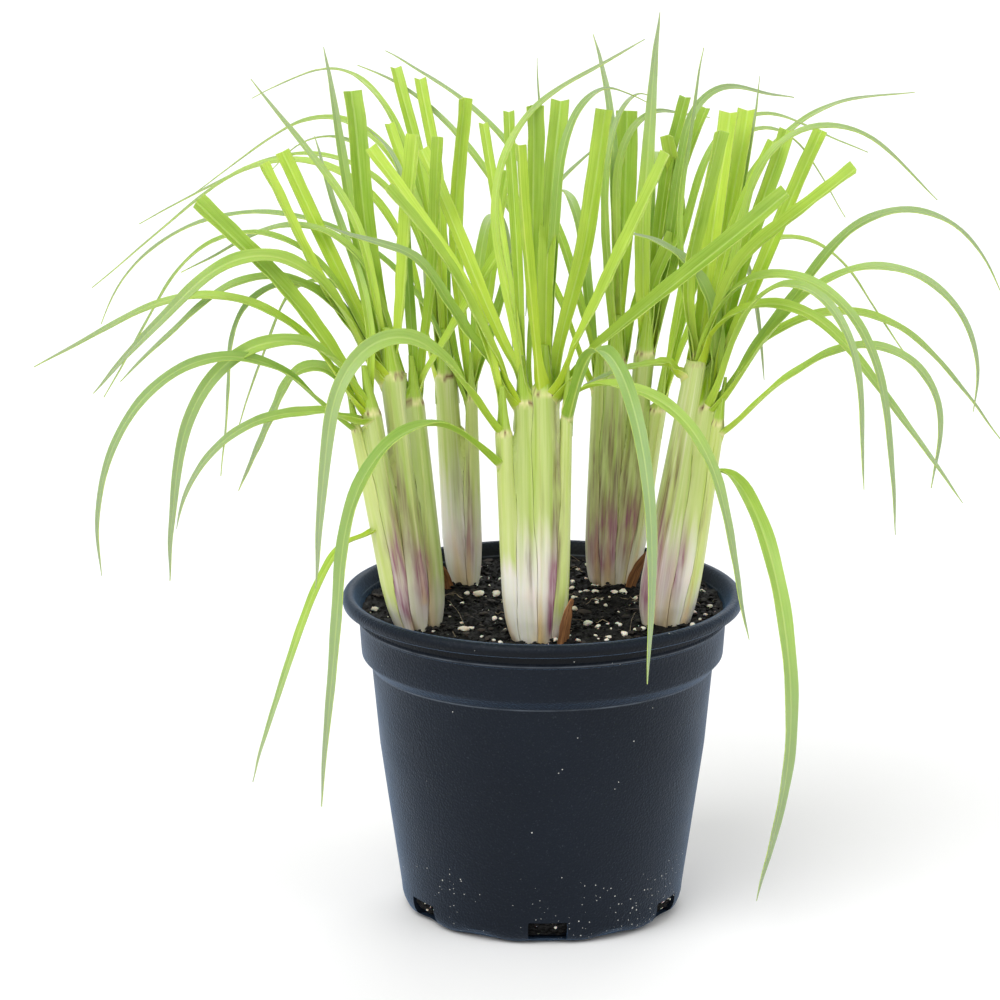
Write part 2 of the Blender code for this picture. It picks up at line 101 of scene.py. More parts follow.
@dataclass(frozen=True)
class Habit:
    """How blades with one kind of tip grow.

    Foot and full are the width near the collar and further out, as shares of the blade's own
    width, and opens_by is the share of its length by which it has its full width. Sway is how
    much it wavers and fold how steep its V is. Light and age are how much paler and how much
    drier it is at the tip.
    """

    foot: float
    full: float
    opens_by: float
    sway: float
    fold: float
    light: float
    age: float


HABITS = {
    CUT: Habit(0.85, 1.42, 0.6, 0.5, 0.68, 0.22, 0.35),
    POINT: Habit(0.8, 1.24, 0.25, 1.0, 0.42, 0.08, 1.0),
}


@dataclass(frozen=True)
class Blade:
    """One leaf blade, which leaves its stem in one direction and bends over.

    Azimuth is its compass direction in degrees, 0 to the right and 90 to the back. Rise and
    fall are the slopes of its root and its tip. It turns from one to the other about
    bend_at, over bend_over, both as shares of its length. Turn rolls its upper face to the
    side, and down is how far below the stem's top it grows.
    """

    azimuth: float
    length: float
    rise: float
    fall: float
    bend_at: float
    bend_over: float
    width: float
    turn: float
    tip: Tip = POINT
    down: float = 0.0

    @property
    def habit(self) -> Habit:
        """Return how blades with this tip grow."""
        return HABITS[self.tip]

    @property
    def hangs(self) -> bool:
        """Return whether the blade's tip hangs down."""
        return self.fall < -60.0

    def slope(self, share: float) -> float:
        """Return the blade's slope, in radians, at a share of its length."""
        bent = smooth_step((share - self.bend_at) / self.bend_over + 0.5)
        return math.radians(mix(self.rise, self.fall, bent))

    def width_at(self, share: float) -> float:
        """Return the blade's width at a share of its length."""
        opening = mix(self.habit.foot, self.habit.full, smooth_step(share / self.habit.opens_by))
        if self.tip is CUT:
            return self.width * opening
        return max(self.width * opening * max(1.0 - share ** 2.4, 0.0) ** 0.8, 0.3)


@dataclass(frozen=True)
class Stem:
    """One leafy stem, from its place in the soil up to the collar where its blades part."""

    name: str
    base: Spot
    base_radius: float
    top: tuple[float, float, float]
    top_radius: float
    depth: float
    blades: tuple[Blade, ...]

    @property
    def axis(self) -> Vector:
        """Return the direction that the stem grows in."""
        return (Vector(self.top) - Vector((*self.base, SOIL_LEVEL))).normalized()

    def share(self, heights: Amount) -> Amount:
        """Return how far up the stem heights lie, 0 at the soil and 1 at its collar."""
        return (heights - SOIL_LEVEL) / (self.top[2] - SOIL_LEVEL)

    def middle(self, heights: Amount) -> tuple[Amount, Amount]:
        """Return the x and y of the stem's middle line at heights."""
        share = self.share(heights)
        return mix(self.base[0], self.top[0], share), mix(self.base[1], self.top[1], share)


FRONT_CLUMP = (
    Stem("front_left_shoot", (-16, -55), 3.8, (-19.5, -60, 260), 4.4, 1.6, (
        Blade(155, 155, 86, 50, 0.35, 0.7, 5.5, -40, CUT),
        Blade(221, 230, 49, -83, 0.45, 0.5, 7.9, -50),
        Blade(222, 262, 42, -84, 0.28, 0.62, 7.2, -20, POINT, 11),
    )),
    Stem("front_left_stem", (-8, -52), 5.0, (-10, -52, 273), 4.7, 1.7, (
        Blade(125, 140, 91, 50, 0.05, 0.3, 6.0, -20, CUT),
        Blade(200, 130, 63, 50, 0.65, 0.4, 6.0, -50, CUT),
        Blade(105, 145, 84, 55, 0.15, 0.2, 4.0, -5, CUT),
        Blade(95, 150, 76, 55, 0.20, 0.4, 4.5, -5, CUT),
        Blade(80, 175, 50, 95, 0.40, 0.6, 2.5, 5),
        Blade(185, 135, 56, 20, 0.65, 0.2, 6.0, -50),
        Blade(45, 235, 103, 15, 0.55, 0.5, 4.5, 20),
    )),
    Stem("front_right_stem", (2, -54), 5.0, (0.5, -55, 279), 6.4, 1.7, (
        Blade(115, 140, 72, 90, 0.25, 0.4, 7.5, -5, CUT),
        Blade(245, 130, 71, 80, 0.25, 0.4, 5.0, -5, CUT),
        Blade(80, 145, 92, 60, 0.40, 0.4, 7.5, 5, CUT),
        Blade(55, 140, 64, 75, 0.50, 0.2, 7.2, 20, CUT),
        Blade(340, 135, 61, 65, 0.30, 0.6, 6.5, 50, CUT),
        Blade(0, 150, 52, 40, 0.05, 0.4, 7.0, 50, CUT),
        Blade(55, 205, 86, -25, 0.70, 0.5, 5.0, 20),
    )),
    Stem("front_right_shoot", (9.5, -55), 3.2, (11.3, -58, 272), 3.0, 1.6, (
        Blade(285, 268, 59, -95, 0.40, 1.0, 7.3, 5),
        Blade(329, 182, 67, -76, 0.22, 0.9, 6.2, 30),
    )),
)

LEFT_CLUMP = (
    Stem("left_outer_shoot", (-72, -36), 4.5, (-91.5, -38, 256), 3.2, 1.4, (
        Blade(215, 230, 40, -95, 0.55, 0.9, 5.5, -40),
        Blade(160, 120, 83, -65, 0.30, 0.5, 6.5, -50),
        Blade(240, 160, 39, -60, 0.05, 1.6, 4.0, -20, POINT, 46),
    )),
    Stem("left_low_stem", (-66.5, -38), 4.6, (-83.8, -43, 266), 4.8, 1.6, (
        Blade(180, 133, 70, 44, 0.25, 1.5, 8.0, -50, CUT),
        Blade(110, 155, 92, 40, 0.30, 0.6, 4.5, -5),
        Blade(175, 195, 52, -30, 0.45, 0.7, 5.0, -40),
        Blade(205, 207, 73, -86, 0.35, 0.9, 6.8, -50),
        Blade(220, 140, 8, -95, 0.75, 1.0, 5.0, -40),
    )),
    Stem("left_main_stem", (-59, -31), 5.5, (-74, -32, 282), 6.4, 1.6, (
        Blade(115, 140, 67, 75, 0.50, 0.4, 8.0, -5, CUT),
        Blade(35, 118, 84, 84, 0.50, 0.4, 7.5, 15, CUT),
        Blade(175, 120, 52, 65, 0.40, 0.7, 5.5, -40, CUT),
        Blade(150, 120, 61, 60, 0.40, 0.7, 6.0, -50, CUT),
        Blade(120, 165, 62, 70, 0.40, 0.7, 6.0, -20),
        Blade(149, 165, 80, 45, 0.45, 0.4, 4.5, -40),
        Blade(195, 200, 57, -45, 0.45, 0.5, 7.5, -50),
        Blade(180, 170, 53, -45, 0.45, 0.6, 5.5, -40),
        Blade(175, 180, 60, -85, 0.40, 0.6, 4.5, -25),
        Blade(170, 220, 61, -60, 0.45, 0.6, 4.5, -25),
    )),
    Stem("left_green_stem", (-51, -26), 4.8, (-62.5, -26, 267), 4.4, 1.5, (
        Blade(120, 150, 86, 20, 0.75, 0.3, 5.0, -20),
        Blade(160, 175, 59, -70, 0.45, 0.4, 4.5, -25),
        Blade(170, 175, 73, -30, 0.55, 0.6, 4.5, -25),
        Blade(65, 130, 74, 85, 0.55, 0.3, 5.0, 5, CUT),
        Blade(25, 85, 78, 55, 0.15, 0.2, 4.5, 25, CUT),
    )),
)

BACK_LEFT_CLUMP = (
    Stem("back_left_stem", (-43, 48), 6.5, (-48.5, 50, 262), 6.0, 1.3, (
        Blade(115, 160, 79, 55, 0.55, 0.5, 5.0, -5, CUT),
        Blade(105, 155, 85, 50, 0.60, 0.4, 5.0, -5, CUT),
        Blade(130, 130, 80, 60, 0.55, 0.6, 4.5, -20, CUT),
        Blade(165, 275, 75, -40, 0.45, 0.6, 4.5, -25),
        Blade(155, 255, 83, -30, 0.45, 0.7, 4.0, -25),
        Blade(130, 310, 87, -30, 0.40, 0.7, 4.5, -20),
        Blade(115, 335, 86, -20, 0.40, 0.9, 4.0, -5),
        Blade(95, 255, 73, -70, 0.45, 0.8, 6.0, 10),
    )),
    Stem("back_left_slim_stem", (-34, 44), 4.5, (-35.5, 44, 252), 3.2, 1.5, (
        Blade(115, 155, 72, 100, 0.45, 0.5, 6.0, -5, CUT),
        Blade(130, 230, 65, -40, 0.65, 0.8, 4.0, -20),
        Blade(170, 260, 68, -95, 0.65, 1.4, 4.5, -25),
        Blade(35, 150, 72, 15, 0.75, 1.1, 4.5, 25),
        Blade(40, 115, 80, 78, 0.50, 0.5, 6.0, 25, CUT),
        Blade(80, 220, 70, -75, 0.50, 0.7, 5.5, -10),
    )),
)

BACK_RIGHT_CLUMP = (
    Stem("back_right_slim_stem", (24.5, 45), 3.2, (28, 46, 260), 3.0, 1.8, (
        Blade(145, 215, 77, 10, 0.60, 1.2, 4.5, -25),
        Blade(150, 210, 61, -25, 0.95, 1.5, 4.5, -25),
        Blade(105, 230, 72, -70, 0.50, 0.8, 5.5, 10),
    )),
    Stem("back_right_main_stem", (32, 43), 5.2, (37, 44, 271), 5.5, 1.6, (
        Blade(80, 125, 72, 80, 0.50, 0.4, 9.0, 5, CUT),
        Blade(110, 170, 90, 45, 0.75, 0.4, 5.5, -5),
        Blade(65, 175, 105, -60, 0.80, 1.0, 4.5, 5),
        Blade(50, 185, 91, -15, 0.65, 0.4, 4.5, 20),
        Blade(45, 135, 69, 60, 0.25, 1.2, 4.5, 20, CUT),
    )),
    Stem("back_right_mid_stem", (40.5, 46), 4.5, (51.5, 48, 274), 5.5, 1.7, (
        Blade(75, 175, 99, 70, 0.40, 0.2, 7.5, 5),
        Blade(50, 115, 67, 105, 0.60, 0.2, 6.0, 20, CUT),
        Blade(55, 130, 80, 60, 0.75, 0.4, 5.0, 20, CUT),
        Blade(35, 190, 78, -15, 0.70, 0.3, 5.0, 40),
        Blade(30, 210, 71, -25, 0.60, 0.4, 4.5, 25),
        Blade(30, 62, 90, 62, 0.50, 0.6, 6.5, 40, CUT),
        Blade(85, 260, 74, -60, 0.45, 0.8, 6.0, 10),
    )),
    Stem("back_right_outer_stem", (47, 42), 3.4, (58.5, 42, 246), 4.0, 1.6, (
        Blade(50, 280, 68, -5, 0.50, 0.9, 4.5, 20),
        Blade(30, 235, 77, -55, 0.65, 0.4, 4.5, 25),
        Blade(20, 235, 71, -55, 0.45, 0.6, 4.5, 25),
        Blade(65, 225, 62, -75, 0.50, 0.8, 5.5, 10),
    )),
)

RIGHT_CLUMP = (
    Stem("right_main_stem", (53, -31), 9.0, (74.5, -30, 287), 5.4, 1.1, (
        Blade(70, 125, 73, 65, 0.25, 0.8, 8.0, 5, CUT),
        Blade(140, 120, 84, 105, 0.35, 0.4, 6.5, -25, CUT),
        Blade(40, 115, 74, 55, 0.55, 0.7, 4.5, 25, CUT),
        Blade(345, 130, 73, 40, 0.40, 0.4, 6.5, 50, CUT),
        Blade(125, 160, 80, 105, 0.50, 0.4, 3.0, -20),
        Blade(335, 192, 82, -50, 0.24, 0.7, 5.5, 40),
        Blade(330, 225, 105, -85, 0.30, 1.0, 5.5, 40),
        Blade(176, 54, 4, -26, 0.5, 1.0, 5.5, -20, POINT, 2),
    )),
    Stem("right_side_stem", (66, -27), 4.6, (80, -26, 265), 4.6, 1.6, (
        Blade(70, 150, 84, 60, 0.25, 0.4, 7.5, 5, CUT),
        Blade(40, 140, 76, 65, 0.40, 0.6, 6.5, 50, CUT),
        Blade(20, 145, 72, 65, 0.25, 0.3, 6.0, 50, CUT),
        Blade(65, 165, 66, 70, 0.50, 0.7, 3.0, 5),
        Blade(5, 230, 81, -45, 0.65, 0.5, 5.0, 40),
        Blade(0, 205, 54, -65, 0.70, 0.6, 5.5, 40),
        Blade(340, 215, 51, -100, 0.65, 0.8, 5.5, 40),
        Blade(310, 215, 64, -85, 0.50, 0.7, 5.5, 20),
        Blade(20, 205, 49, -50, 0.40, 0.7, 5.0, 40),
        Blade(168, 108, 103, 10, 0.60, 1.0, 9.0, -30),
    )),
    Stem("right_outer_shoot", (72.5, -30), 3.2, (86, -30, 257), 3.2, 1.6, (
        Blade(345, 175, 37, -100, 0.60, 0.7, 5.5, 40),
        Blade(291, 276, 100, -112, 0.12, 1.4, 7.9, 5, POINT, 29),
    )),
)

CLUMPS = (FRONT_CLUMP, LEFT_CLUMP, BACK_LEFT_CLUMP, BACK_RIGHT_CLUMP, RIGHT_CLUMP)

# How far neighbouring stems melt together, as a share of the stem's radius, by height
MELT_HEIGHTS = (SOIL_LEVEL, SOIL_LEVEL + 60.0, SOIL_LEVEL + 115.0)
MELTS = (2.0, 1.5, 0.9)
# The middle of each stem's clump, which its foot is drawn towards
MIDDLES = {
    stem.name: (clump[0].base[0] + clump[-1].base[0]) / 2.0 for clump in CLUMPS for stem in clump
}


@dataclass(frozen=True)
class Streak:
    """A coloured streak that runs up a stem.

    Angle and width are in degrees round the stem, 0 to the front and positive to the right.
    Low and high are millimetres above the soil.
    """

    angle: float
    width: float
    low: float
    high: float
    strength: float

    def amount(self, angle: float, height: float) -> float:
        """Return how strongly the streak colours a place on the stem."""
        off = turned_from(angle, self.angle)
        middle = (self.low + self.high) / 2.0
        reach = (self.high - self.low) / 2.0
        fade = math.exp(-((height - middle) / reach) ** 2 * 1.1)
        return 1.7 * self.strength * math.exp(-(off / self.width / 2.3) ** 2) * fade

    @staticmethod
    def total(streaks: Sequence["Streak"], angle: float, height: float) -> float:
        """Return how strongly streaks colour a place, with like ones on the stem's back.

        Args:
            streaks: The streaks of one colour, which are given for the front.
            angle: Degrees round the stem.
            height: Millimetres above the soil.

        Returns:
            The strength, from 0 to 1.
        """
        back_share, back_stretch = 0.85, 0.85
        front = sum(streak.amount(angle, height) for streak in streaks)
        back = sum(streak.amount(180.0 - angle, height * back_stretch) for streak in streaks)
        behind = smooth_step(-1.5 * math.cos(math.radians(angle)))
        return min(front + back_share * behind * back, 1.0)


@dataclass(frozen=True)
class Margin:
    """The free edge of a sheath that wraps the stem, from its foot angle to its top angle.

    It starts from_height above the soil, and tan is how strongly its foot is stained.
    """

    foot: float
    top: float
    from_height: float = -10.0
    tan: float = 0.6

    def angle(self, share: Amount) -> Amount:
        """Return where the edge lies, in degrees round the stem, at a share of the way up it."""
        return mix(self.foot, self.top, np.maximum(share, 0.0) ** 1.5)


@dataclass(frozen=True)
class StemLook:
    """The colours of one stem: where its white foot ends, and its streaks and margins."""

    white_to: float
    fade: float
    tone: float
    purple: tuple[Streak, ...] = ()
    brown: tuple[Streak, ...] = ()
    margins: tuple[Margin, ...] = ()
    open_top: bool = False


LOOKS = {
    "front_left_shoot": StemLook(
        37, 7, 0.75, margins=(Margin(-50, -20), Margin(150, 170))),
    "front_left_stem": StemLook(
        46, 26, 0.4,
        brown=(Streak(20, 4, 18, 62, 0.6), Streak(2, 4, 26, 50, 0.35), Streak(56, 5, 40, 74, 0.5)),
        margins=(Margin(60, 44), Margin(-150, -170))),
    "front_right_stem": StemLook(
        46, 30, 0.35,
        purple=(Streak(40, 14, 8, 44, 1.0), Streak(26, 10, 2, 20, 0.5)),
        brown=(Streak(66, 15, 26, 116, 1.0), Streak(-20, 4, 46, 80, 0.5), Streak(-50, 5, 14, 40, 0.3)),
        margins=(Margin(-30, -26, -10.0, 0.9), Margin(160, 150))),
    "front_right_shoot": StemLook(
        15, 14, 0.6, brown=(Streak(-62, 20, 18, 108, 0.9),), margins=(Margin(-80, -70),)),
    "left_outer_shoot": StemLook(
        12, 12, 0.95, brown=(Streak(35, 12, 20, 60, 0.35),), margins=(Margin(40, 30),)),
    "left_low_stem": StemLook(
        34, 22, 0.45,
        purple=(Streak(2, 20, 8, 46, 1.0), Streak(36, 14, 2, 28, 0.6), Streak(20, 10, 40, 66, 0.4)),
        brown=(Streak(48, 12, 40, 92, 0.6), Streak(-10, 8, 44, 80, 0.35)),
        margins=(Margin(50, 20), Margin(-60, -40, 40), Margin(170, 150))),
    "left_main_stem": StemLook(
        34, 26, 0.35,
        purple=(Streak(30, 16, 12, 44, 0.95), Streak(-36, 12, 34, 70, 0.45)),
        brown=(Streak(-42, 14, 46, 104, 0.6), Streak(0, 6, 30, 84, 0.5), Streak(46, 8, 36, 78, 0.45)),
        margins=(Margin(-48, -14), Margin(22, 34, 14), Margin(160, 170))),
    "left_green_stem": StemLook(
        16, 18, 0.15,
        purple=(Streak(-38, 18, 14, 42, 0.75),),
        brown=(Streak(-30, 12, 36, 70, 0.45),), margins=(Margin(-20, 14), Margin(170, 160))),
    "back_left_stem": StemLook(
        50, 34, 0.6,
        purple=(Streak(48, 13, 6, 40, 0.5),),
        brown=(Streak(58, 12, 18, 74, 0.6), Streak(10, 5, 26, 60, 0.25)),
        margins=(Margin(4, -62), Margin(52, 60), Margin(170, 160))),
    "back_left_slim_stem": StemLook(
        34, 28, 0.75,
        purple=(Streak(-22, 16, 8, 38, 0.6),),
        brown=(Streak(-36, 16, 22, 76, 0.7),), margins=(Margin(-30, -20), Margin(160, 170))),
    "back_right_slim_stem": StemLook(
        22, 22, 0.5,
        purple=(Streak(8, 26, 4, 40, 0.7),),
        brown=(Streak(-14, 18, 26, 88, 0.65),), margins=(Margin(20, 30), Margin(-170, -160))),
    "back_right_main_stem": StemLook(
        24, 24, 0.25,
        purple=(Streak(-20, 24, 4, 42, 0.85), Streak(40, 14, 10, 40, 0.6)),
        brown=(Streak(-4, 16, 28, 96, 0.85), Streak(44, 14, 30, 92, 0.7), Streak(-46, 12, 34, 84, 0.5)),
        margins=(Margin(6, -20), Margin(60, 40), Margin(170, 160))),
    "back_right_mid_stem": StemLook(
        20, 22, 0.3,
        purple=(Streak(10, 16, 14, 44, 0.95),),
        brown=(Streak(-20, 16, 26, 92, 0.8), Streak(30, 14, 20, 72, 0.6)),
        margins=(Margin(40, 10), Margin(-60, -30), Margin(160, 170))),
    "back_right_outer_stem": StemLook(
        26, 26, 0.8, brown=(Streak(-40, 14, 10, 60, 0.5),), margins=(Margin(-10, 20),)),
    "right_main_stem": StemLook(
        42, 30, 0.35,
        purple=(Streak(-42, 20, 4, 42, 0.7), Streak(-26, 10, 26, 62, 0.4), Streak(36, 9, 12, 46, 0.35)),
        brown=(Streak(-20, 10, 32, 98, 0.9), Streak(-52, 12, 44, 104, 0.4), Streak(4, 6, 50, 84, 0.3)),
        margins=(Margin(-6, -16), Margin(44, 52), Margin(170, 160)), open_top=True),
    "right_side_stem": StemLook(
        38, 24, 0.6,
        purple=(Streak(-26, 14, 14, 48, 0.7),),
        brown=(Streak(-40, 12, 40, 80, 0.4),), margins=(Margin(-44, -20), Margin(160, 170))),
    "right_outer_shoot": StemLook(
        18, 16, 0.9, brown=(Streak(-30, 14, 44, 66, 0.5),), margins=(Margin(-20, -10),)),
}


class Bench:
    """The modelling moves that every piece shares."""

    @staticmethod
    def pick(*things: bpy.types.Object) -> None:
        """Select these objects alone, and make the first one active.

        Args:
            things: The objects to select.
        """
        bpy.ops.object.select_all(action="DESELECT")
        for thing in things:
            thing.select_set(True)
        bpy.context.view_layer.objects.active = things[0]

    @staticmethod
    @contextmanager
    def editing(thing: bpy.types.Object) -> Iterator[None]:
        """Work on an object in edit mode with all of it selected.

        Args:
            thing: The object to edit.
        """
        Bench.pick(thing)
        bpy.ops.object.mode_set(mode="EDIT")
        bpy.ops.mesh.select_all(action="SELECT")
        yield
        bpy.ops.object.mode_set(mode="OBJECT")

    @staticmethod
    def apply(thing: bpy.types.Object, kind: str, **settings: object) -> None:
        """Add a modifier to an object and apply it.

        Args:
            thing: The object that gets it.
            kind: The modifier's type, such as SOLIDIFY.
            settings: The values that are set on it.
        """
        Bench.pick(thing)
        bpy.ops.object.modifier_add(type=kind)
        modifier = thing.modifiers[-1]
        for name, value in settings.items():
            setattr(modifier, name, value)
        bpy.ops.object.modifier_apply(modifier=modifier.name)

    @staticmethod
    def join(things: Sequence[bpy.types.Object], name: str) -> bpy.types.Object:
        """Join objects into the first one.

        Args:
            things: The objects to join.
            name: The name of the result.

        Returns:
            The joined object.
        """
        Bench.pick(*things)
        if len(things) > 1:
            bpy.ops.object.join()
        things[0].name = name
        things[0].data.name = name
        return things[0]

    @staticmethod
    def settle(thing: bpy.types.Object) -> None:
        """Put an object's place, turn and scale into its mesh."""
        Bench.pick(thing)
        bpy.ops.object.transform_apply(location=True, rotation=True, scale=True)

    @staticmethod
    def sheet(name: str, across: int, along: int) -> bpy.types.Object:
        """Add a flat grid that a piece is then shaped from.

        Args:
            name: The name of the grid.
            across: How many faces it has across.
            along: How many faces it has along.

        Returns:
            The grid, one metre square about the origin, which keeps its UV map.
        """
        bpy.ops.mesh.primitive_grid_add(x_subdivisions=across, y_subdivisions=along, size=1.0)
        grid = bpy.context.object
        grid.name = name
        return grid

    @staticmethod
    def shape_all(
        thing: bpy.types.Object, place: Callable[[np.ndarray], np.ndarray],
    ) -> np.ndarray:
        """Move all the points of a grid to where a rule puts them.

        Args:
            thing: A grid from sheet.
            place: Takes a row of the shares across and along for each point, and returns a
                row of x, y and z in millimetres for each.

        Returns:
            The two shares of each point, in the order of the points.
        """
        count = len(thing.data.vertices)
        flat = np.empty(count * 3)
        thing.data.vertices.foreach_get("co", flat)
        shares = flat.reshape(count, 3)[:, :2] + 0.5
        thing.data.vertices.foreach_set("co", (place(shares) * MM).ravel())
        thing.data.update()
        return shares

    @staticmethod
    def shape(thing: bpy.types.Object, place: Callable[[float, float], Vector]) -> np.ndarray:
        """Move each point of a grid to where a rule puts it.

        Args:
            thing: A grid from sheet.
            place: Takes the shares across and along, and returns a place in millimetres.

        Returns:
            The two shares of each point, in the order of the points.
        """
        return Bench.shape_all(thing, lambda shares: np.array([place(u, v) for u, v in shares]))

    @staticmethod
    def paint(thing: bpy.types.Object, name: str, values: Sequence[tuple]) -> None:
        """Store four values on each point, for a material to read.

        Args:
            thing: The object to paint.
            name: The attribute's name.
            values: One row of four values for each point.
        """
        layer = thing.data.color_attributes.new(name, "FLOAT_COLOR", "POINT")
        layer.data.foreach_set("color", np.asarray(values, dtype=np.float32).ravel())

    @staticmethod
    def spread_uv(thing: bpy.types.Object, wide: float, long: float) -> None:
        """Scale the UV map to the piece's real size, in metres.

        Args:
            thing: A grid whose UV map runs from 0 to 1.
            wide: Its size across, in millimetres.
            long: Its size along, in millimetres.
        """
        layer = thing.data.uv_layers[0]
        flat = np.empty(len(layer.data) * 2)
        layer.data.foreach_get("uv", flat)
        spots = flat.reshape(-1, 2) * np.array([wide, long]) * MM
        layer.data.foreach_set("uv", spots.ravel())

    @staticmethod
    def smooth(thing: bpy.types.Object, degrees: float) -> None:
        """Shade an object smooth, but for edges sharper than an angle."""
        Bench.pick(thing)
        bpy.ops.object.shade_smooth_by_angle(angle=math.radians(degrees))

    @staticmethod
    def finish(thing: bpy.types.Object, *finishes: bpy.types.Material) -> None:
        """Give an object these materials alone."""
        thing.data.materials.clear()
        for finish in finishes:
            thing.data.materials.append(finish)

    @staticmethod
    def lathe(name: str, profile: Sequence[Spot], sides: int) -> bpy.types.Object:
        """Turn a profile by extruding a ring from point to point.

        Args:
            name: The piece's name.
            profile: Radius and height of each point, in millimetres. The ends are closed.
            sides: How many faces go round.

        Returns:
            The turned piece, closed at both ends.
        """
        radius, height = profile[0]
        bpy.ops.mesh.primitive_circle_add(
            vertices=sides, radius=radius * MM, location=(0, 0, height * MM), fill_type="NGON")
        thing = bpy.context.object
        thing.name = name
        Bench.settle(thing)
        with Bench.editing(thing):
            bpy.ops.mesh.select_mode(type="EDGE")
            for new_radius, new_height in profile[1:]:
                rise = (0.0, 0.0, (new_height - height) * MM)
                bpy.ops.mesh.extrude_edges_move(TRANSFORM_OT_translate={"value": rise})
                share = new_radius / radius
                bpy.ops.transform.resize(value=(share, share, 1.0), center_override=(0, 0, 0))
                radius, height = new_radius, new_height
            bpy.ops.mesh.edge_face_add()
            bpy.ops.mesh.select_all(action="SELECT")
            bpy.ops.mesh.normals_make_consistent(inside=False)
        return thing

    @staticmethod
    def deliver(thing: bpy.types.Object, slot: str, nodes: Sequence[str] = ()) -> None:
        """Hand a finished piece over to the frame.

        Args:
            thing: The finished piece.
            slot: The record's material slot, which is not used.
            nodes: The solids that it stands for.
        """
        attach(thing, "root")
        if nodes:
            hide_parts(*nodes)
        log.info("made %s with %d faces", thing.name, len(thing.data.polygons))


